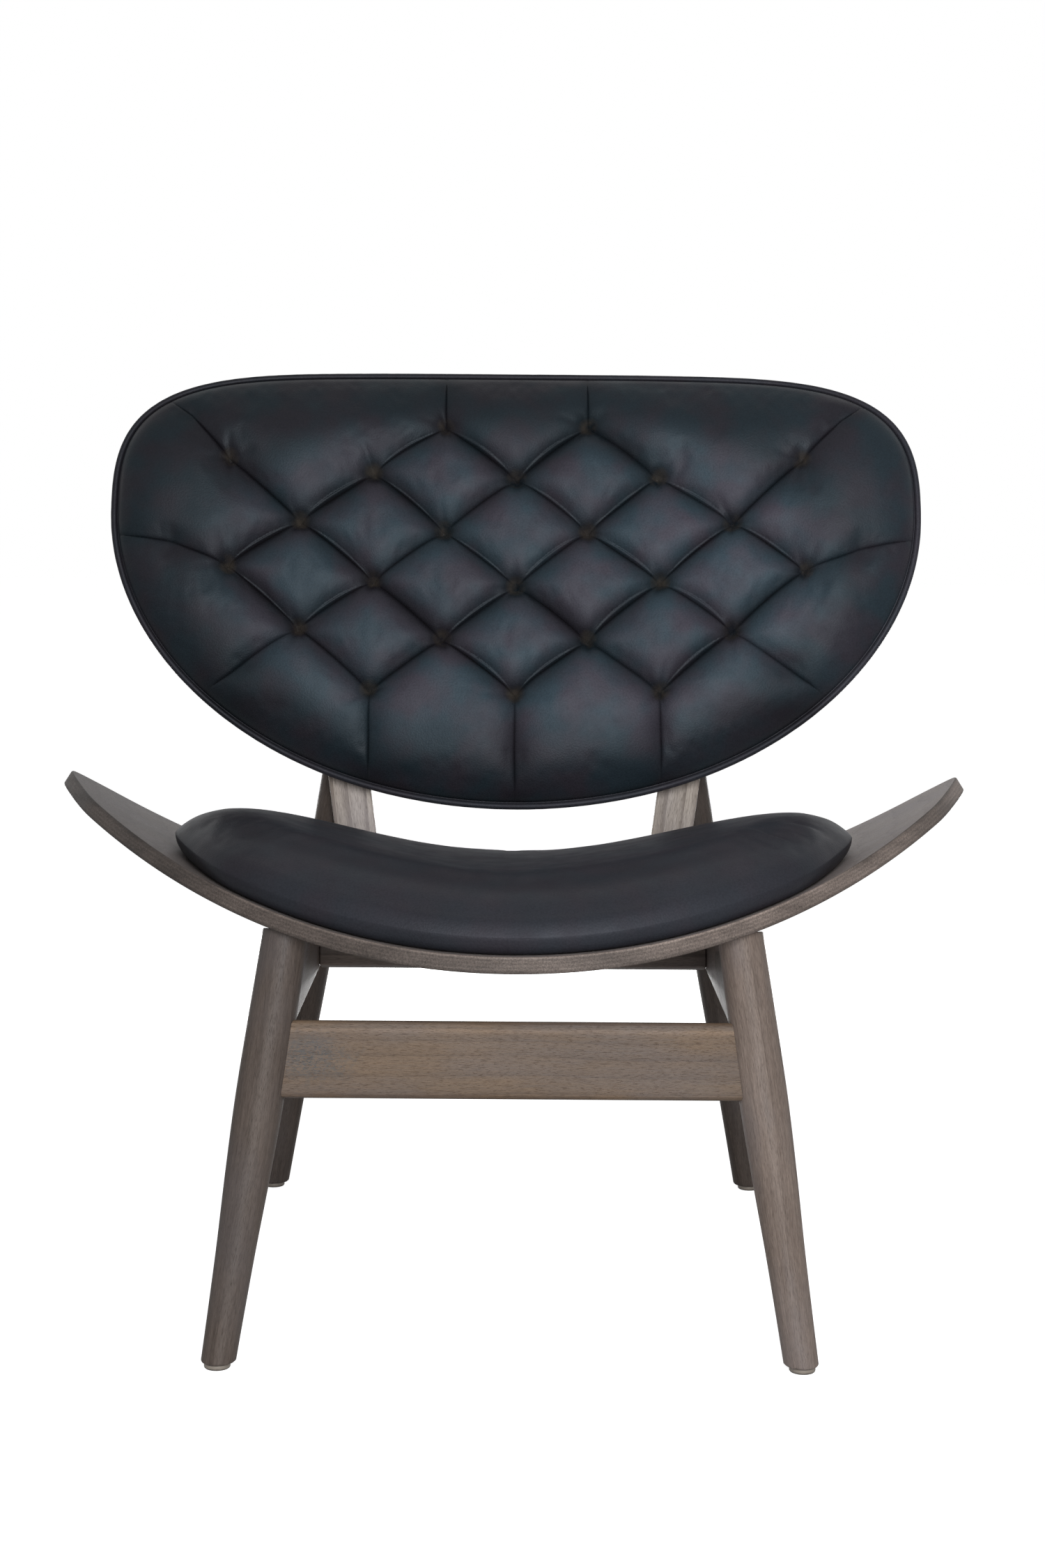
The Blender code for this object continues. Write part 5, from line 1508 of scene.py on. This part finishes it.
SIDES = {"left": -1, "right": 1}
LEG_ENDS = {"front": (FRONT_FOOT, FRONT_LEG_TOP), "rear": (REAR_FOOT, REAR_LEG_TOP)}
dressed_legs = {}
for end, (foot, top) in LEG_ENDS.items():
    for side_word, side in SIDES.items():
        mirrored = [Vector((point.x * side, point.y, point.z)) for point in (foot, top)]
        leg, leg_place = turned_leg(f"turned_leg_{end}_{side_word}", *mirrored)
        if end == "rear":
            cut_away(leg, flat_cutter())
            cut_away(leg, bolt_recess(side))
        shade_round(leg, 35)
        pale, dark = (tuple(LEG_SHADE[end, side_word] * c for c in tone)
                      for tone in (GREY_PALE, GREY_DARK))
        wood = stained_wood(f"leg_wood_{end}_{side_word}", leg_place, pale, dark,
                            seed=1.0 + len(dressed_legs), figure=0.12)
        mount_piece(leg, wood, "wood", f"{end}_leg_{side_word}")
        dressed_legs[end, side_word] = (leg, mirrored)

# %% [markdown]
# ## Stretcher and posts
#
# The stretcher between the front legs is a board with well rounded edges, its ends shaped to
# the legs. It leans as they do. The two back posts are flat boards that lean with the
# backrest and spread outwards, with a corner rounded at each top.

# %% Stretcher
STRETCHER_HEIGHT = 0.068
STRETCHER_THICKNESS = 0.022
STRETCHER_MIDDLE = 0.259
STRETCHER_EASE = 0.0045


def axis_point(foot, top, height):
    """Where a leg's axis passes a height."""
    return foot.lerp(top, (height - foot.z) / (top.z - foot.z))


stretcher_middle = axis_point(FRONT_FOOT, FRONT_LEG_TOP, STRETCHER_MIDDLE)
stretcher_upper = axis_point(FRONT_FOOT, FRONT_LEG_TOP, STRETCHER_MIDDLE + STRETCHER_HEIGHT / 2)
leg_rise = FRONT_LEG_TOP - FRONT_FOOT
stretcher_place = (Matrix.Translation((0, stretcher_middle.y + SHIFT, stretcher_middle.z))
                   @ Matrix.Rotation(-math.atan2(leg_rise.y, leg_rise.z), 4, "X"))
stretcher = box_object("stretcher_board", (2 * stretcher_upper.x, STRETCHER_THICKNESS,
                                           STRETCHER_HEIGHT), stretcher_place, STRETCHER_EASE, 5)
for side_word, side in SIDES.items():
    _, (foot, top) = dressed_legs["front", side_word]
    length = (top - foot).length
    shares = np.linspace(0, 1, 40)
    profile = [(LEG_RADIUS * smooth_profile(share) + GAP, share * length) for share in shares]
    points, faces = turned_points(profile, LEG_SIDES)
    coper = mesh_object("coper", points, faces)
    coper.matrix_world = leg_frame(foot, top)
    cut_away(stretcher, coper)
shade_round(stretcher, 35)
KNOT = (-0.178, stretcher_middle.y + SHIFT, 0.262)
# The stretcher's edges carry painted shade at its top and bottom and a painted highlight under its
# top.
STRETCHER_WOOD = stained_wood("stretcher_wood", stretcher_place @ ALONG_X, (0.136, 0.094, 0.063),
                              (0.068, 0.045, 0.030), seed=9.0, figure=0.16, knot=KNOT,
                              edges=(0.2255, 0.2885))
mount_piece(stretcher, STRETCHER_WOOD, "wood", "front_stretcher")

# %% Posts
POST_LOW_V, POST_HIGH_V = -0.155, 0.168
POST_CORNER = 0.012
POST_EASE = 0.0020


def post_object(name, length, place):
    """A flat board with round top corners and eased arrises."""
    half = POST_WIDTH / 2
    outline = [(-half, -length / 2), (half, -length / 2)]
    for centre, start in ((half - POST_CORNER, 0), (POST_CORNER - half, math.pi / 2)):
        for step in range(13):
            turn = start + step * math.pi / 24
            outline.append((centre + POST_CORNER * math.cos(turn),
                            length / 2 - POST_CORNER + POST_CORNER * math.sin(turn)))
    count = len(outline)
    near, far = -POST_THICKNESS / 2, POST_THICKNESS / 2
    points = [(x, near, z) for x, z in outline] + [(x, far, z) for x, z in outline]
    faces = [tuple(range(count)), tuple(reversed(range(count, 2 * count)))]
    faces += [(i, i + count, (i + 1) % count + count, (i + 1) % count) for i in range(count)]
    post = mesh_object(name, points, faces)
    with edited(post.data) as bm:
        bmesh.ops.recalc_face_normals(bm, faces=bm.faces)
        rims = [edge for edge in bm.edges if edge.calc_face_angle() > math.radians(40)]
        bmesh.ops.bevel(bm, geom=rims, offset=POST_EASE, segments=3, profile=0.5, affect="EDGES")
    post.matrix_world = place
    shade_round(post, 35)
    return post


for number, (side_word, side) in enumerate(SIDES.items()):
    middle_v = (POST_LOW_V + POST_HIGH_V) / 2
    at = (post_x(middle_v) * side, POST_FRONT + POST_THICKNESS / 2, middle_v)
    place = BACK_FRAME @ Matrix.Translation(at) @ Matrix.Rotation(POST_SPLAY * side, 4, "Y")
    long = (POST_HIGH_V - POST_LOW_V) / math.cos(POST_SPLAY)
    post = post_object(f"post_board_{side_word}", long, place)
    # The posts' paler tone is partly the wood's own and partly painted light, where they show
    # between backrest and pad.
    wood = stained_wood(f"post_wood_{side_word}", place, (0.430, 0.382, 0.338),
                        (0.170, 0.142, 0.122), seed=11.0 + number, figure=0.55)
    mount_piece(post, wood, "wood", f"back_post_{side_word}")

# %% [markdown]
# ## Rails and apron
#
# The side rails and the rear apron are plain boards under the shell, mostly in its shadow.
# Their solids already have the right shape, so they only get the stained wood.

# %% Rails and apron
ALONG_Y = Matrix.Rotation(-math.pi / 2, 4, "X")
RAIL_WOOD = stained_wood("rail_wood", ALONG_Y, (0.150, 0.120, 0.104), (0.066, 0.050, 0.042),
                         seed=14.0)
# The apron's darker tone is painted shade, under the shell.
APRON_WOOD = stained_wood("apron_wood", ALONG_X, (0.120, 0.096, 0.083), (0.053, 0.040, 0.034),
                          seed=15.0)
finish_solids(RAIL_WOOD, "side_rail_left", "side_rail_right")
finish_solids(APRON_WOOD, "rear_apron")

# %% [markdown]
# ## Feet
#
# Under each leg is a turned nylon disc on a pin, so that the leg doesn't scratch the floor or
# split. A disc from a primitive would have razor edges. A turned profile gives it a rounded
# rim, a hub that meets the leg, and the sunk nail in its middle. Its finish is a stained
# nylon that is scuffed dark where it touches the floor.

# %% Feet
FOOT_SIDES = 48
FOOT_PROFILE = ((0.0026, 0.0012), (0.0030, 0.0012), (0.0034, 0.0004), (0.0042, 0.0), (0.0098, 0.0),
                (0.0108, 0.0003), (0.0114, 0.0011), (0.0115, 0.0018), (0.0115, 0.0036),
                (0.0113, 0.0044), (0.0107, 0.0049), (0.0100, 0.0050), (0.0026, 0.0050),
                (0.0022, 0.0054), (0.0022, 0.0186), (0.0018, 0.0190))

nylon, tree, shader = new_finish("stained_nylon", 0.42, 0.40)
place = add_node(tree, "TexCoord").outputs["Object"]
height = add_node(tree, "SeparateXYZ", {0: place}).outputs["Z"]
dirt = calculate(tree, "MULTIPLY_ADD", noise(tree, place, 260.0, 4.0, 0.65), 0.0024, height)
tone = colour_mix(tree, spread(tree, dirt, 0.0014, 0.0036), (0.020, 0.017, 0.015, 1),
                  (0.190, 0.165, 0.140, 1))
tree.links.new(tone, shader.inputs["Base Color"])
scuffs = noise(tree, mapped(tree, place, (300, 300, 1500)), 1.0, 4.0, 0.6)
tree.links.new(spread(tree, scuffs, 0.3, 0.7, 0.34, 0.56), shader.inputs["Roughness"])
bumped(tree, shader, scuffs, 0.00008, 0.5)

for end, (foot, _) in LEG_ENDS.items():
    for side_word, side in SIDES.items():
        points, faces = turned_points(FOOT_PROFILE, FOOT_SIDES)
        glide = mesh_object(f"nylon_foot_{end}_{side_word}", points, faces)
        glide.matrix_world = Matrix.Translation((foot.x * side, foot.y + SHIFT, 0))
        shade_round(glide, 35)
        mount_piece(glide, nylon, "nylon", f"glide_{end}_{side_word}")

# %% [markdown]
# ## Bolts and screws
#
# Behind the chair, bolts hold the backrest to the posts and the rear legs, and screws hold the
# posts to the apron. Each has a low domed head with a six-sided socket. The head is turned
# as rings, and the rings of the socket are six-sided instead of round. The seat's screws
# stand deep in holes under the rails, and the threaded sleeves are inside the wood, so those
# keep their solids and only get the steel.

# %% Bolts and screws
BOLT_SIDES = 48
SHAFT_RADIUS, TIP_RADIUS, TIP_BEVEL, HEAD_HEIGHT = 0.0030, 0.0024, 0.0008, 0.0030
SOCKET_HALF, SOCKET_DEPTH, SOCKET_CONE = 0.0020, 0.0018, 0.0004
HEAD_PROFILE = ((0.0030, 0.0), (0.0058, 0.0), (0.0060, -0.0003), (0.0060, -0.0010),
                (0.0057, -0.0018), (0.0050, -0.0025), (0.0040, -0.0029), (0.0032, -0.0030))

steel, tree, shader = new_finish("zinc_steel", 0.34)
place = add_node(tree, "TexCoord").outputs["Object"]
shader.inputs["Metallic"].default_value = 1.0
patina = noise(tree, place, 480.0, 4.0, 0.6)
tree.links.new(colour_mix(tree, spread(tree, patina, 0.35, 0.65), (0.34, 0.34, 0.33, 1),
                          (0.52, 0.52, 0.50, 1)), shader.inputs["Base Color"])
tree.links.new(spread(tree, noise(tree, place, 1500.0), 0.3, 0.7, 0.26, 0.44),
               shader.inputs["Roughness"])
bumped(tree, shader, noise(tree, place, 2200.0), 0.00003, 0.4)


def bolt_ring(half, height, six_sided=False):
    """One ring of a bolt: round, or six-sided with its flats at the given distance."""
    ring = []
    for number in range(BOLT_SIDES):
        turn = 2 * math.pi * number / BOLT_SIDES
        radius = half
        if six_sided:
            radius = half / math.cos((turn + math.pi / 6) % (math.pi / 3) - math.pi / 6)
        ring.append((radius * math.cos(turn), radius * math.sin(turn), height))
    return ring


def socket_bolt(name, place, reach):
    """A bolt whose head lies behind its place and whose shaft reaches forward."""
    floor_of_socket = SOCKET_DEPTH - HEAD_HEIGHT
    rings = [bolt_ring(TIP_RADIUS, reach), bolt_ring(SHAFT_RADIUS, reach - TIP_BEVEL)]
    rings += [bolt_ring(radius, height) for radius, height in HEAD_PROFILE]
    rings += [bolt_ring(SOCKET_HALF, height, True) for height in (-HEAD_HEIGHT, floor_of_socket)]
    points = [(0, 0, reach), *sum(rings, []), (0, 0, floor_of_socket + SOCKET_CONE)]
    made = mesh_object(name, points, ring_faces(len(rings), BOLT_SIDES, outward=False))
    made.matrix_world = place
    shade_round(made, 35)
    return made


SCREW_BITE, BOLT_SHORTER = 0.016, 0.0045
SCREW_REACH = POST_THICKNESS + 2 * GAP + SCREW_BITE
BOLT_PLACES = {
    "back_bolt_upper": (UPPER_SEAT, UPPER_BOLT_V, None),
    "back_bolt_lower": (LOWER_SEAT, LOWER_BOLT_V, None),
    "apron_screw_upper": (UPPER_SEAT, POST_LOW_V + 0.043, SCREW_REACH),
    "apron_screw_lower": (UPPER_SEAT, POST_LOW_V + 0.012, SCREW_REACH),
}
for word, (seat_n, v, reach) in BOLT_PLACES.items():
    for side_word, side in SIDES.items():
        node = f"{word}_{side_word}"
        low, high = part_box(node)
        long = reach or (high.y - low.y) / math.cos(RECLINE) - BOLT_SHORTER
        place = facing_forward(post_x(v) * side, seat_n, v)
        mount_piece(socket_bolt(f"{word}_head_{side_word}", place, long), steel, "steel", node)

# %% Hidden boards and sleeves
BARE_PLY = plywood_rim(stained_wood("bare_plywood", ALONG_X, (0.52, 0.40, 0.27),
                                    (0.36, 0.26, 0.17), seed=17.0, figure=0.2, gloss=0.6))
sleeves = [node for node in cad if node.startswith(("seat_screw", "seat_insert", "back_insert"))]
finish_solids(steel, *sleeves)
finish_solids(BARE_PLY, "seat_pad_board", "backrest_board")

# %% [markdown]
# ## The studio
#
# The photograph shows the chair alone on white. A pale floor and a white world give that to
# the camera, and the floor keeps a soft shadow. The highlights on the leather are tall and
# soft, and the chair's right is the lighter side, so one tall lamp stands in front, a little
# to the right. A second lamp could hang high behind the chair, but there it would graze the
# pad and the wings. It lies near the floor instead, below the seat, and lights only the back.

# %% Floor
FLOOR_HALF = 14.0
CORNERS = ((-1, -1), (1, -1), (1, 1), (-1, 1))
floor = mesh_object("floor", [(x * FLOOR_HALF, y * FLOOR_HALF, 0) for x, y in CORNERS],
                    [(0, 1, 2, 3)])

floor_finish, tree, shader = new_finish("pale_floor", 0.9, 0.0)
shader.inputs["Base Color"].default_value = (0.80, 0.80, 0.80, 1)
seen = add_node(tree, "LightPath").outputs["Is Camera Ray"]
tree.links.new(calculate(tree, "MULTIPLY", seen, 0.80), shader.inputs["Emission Strength"])
shader.inputs["Emission Color"].default_value = (1, 1, 1, 1)
floor.data.materials.append(floor_finish)

# %% World
world = bpy.data.worlds.new("white_studio")
world.use_nodes = True
bpy.context.scene.world = world
tree = world.node_tree
tree.nodes.clear()
rays = add_node(tree, "LightPath").outputs
white_seen = calculate(tree, "MAXIMUM", rays["Is Glossy Ray"], rays["Is Transmission Ray"])
white_seen = calculate(tree, "MAXIMUM", rays["Is Camera Ray"], white_seen)
white = add_node(tree, "Background", {"Color": (1, 1, 1, 1), "Strength": 1.0})
ambient = add_node(tree, "Background", {"Color": (1, 1, 1, 1), "Strength": 0.25})
both = add_node(tree, "MixShader", {0: white_seen, 1: ambient.outputs[0], 2: white.outputs[0]})
out = add_node(tree, "OutputWorld")
tree.links.new(both.outputs[0], out.inputs["Surface"])


# %% Lamps
def soft_lamp(name, place, target, wide, tall, watts):
    """A rectangular soft lamp aimed at a point."""
    lamp = bpy.data.lights.new(name, "AREA")
    lamp.shape = "RECTANGLE"
    lamp.size, lamp.size_y, lamp.energy = wide, tall, watts
    made = in_scene(name, lamp)
    made.location = place
    made.rotation_euler = (Vector(target) - Vector(place)).to_track_quat("-Z", "Y").to_euler()
    print(name, watts, "W")


soft_lamp("main_lamp", (0.35, -3.05, 1.55), (0.0, 0.0, 0.5), 1.3, 2.4, watts=118)
soft_lamp("back_lamp", (0.0, 1.8, 0.12), (0.0, 0.2, 0.62), 2.4, 0.2, watts=34)

# %% [markdown]
# ## Last steps
#
# The scene is brought up to date.

# %% Last update
bpy.context.view_layer.update()
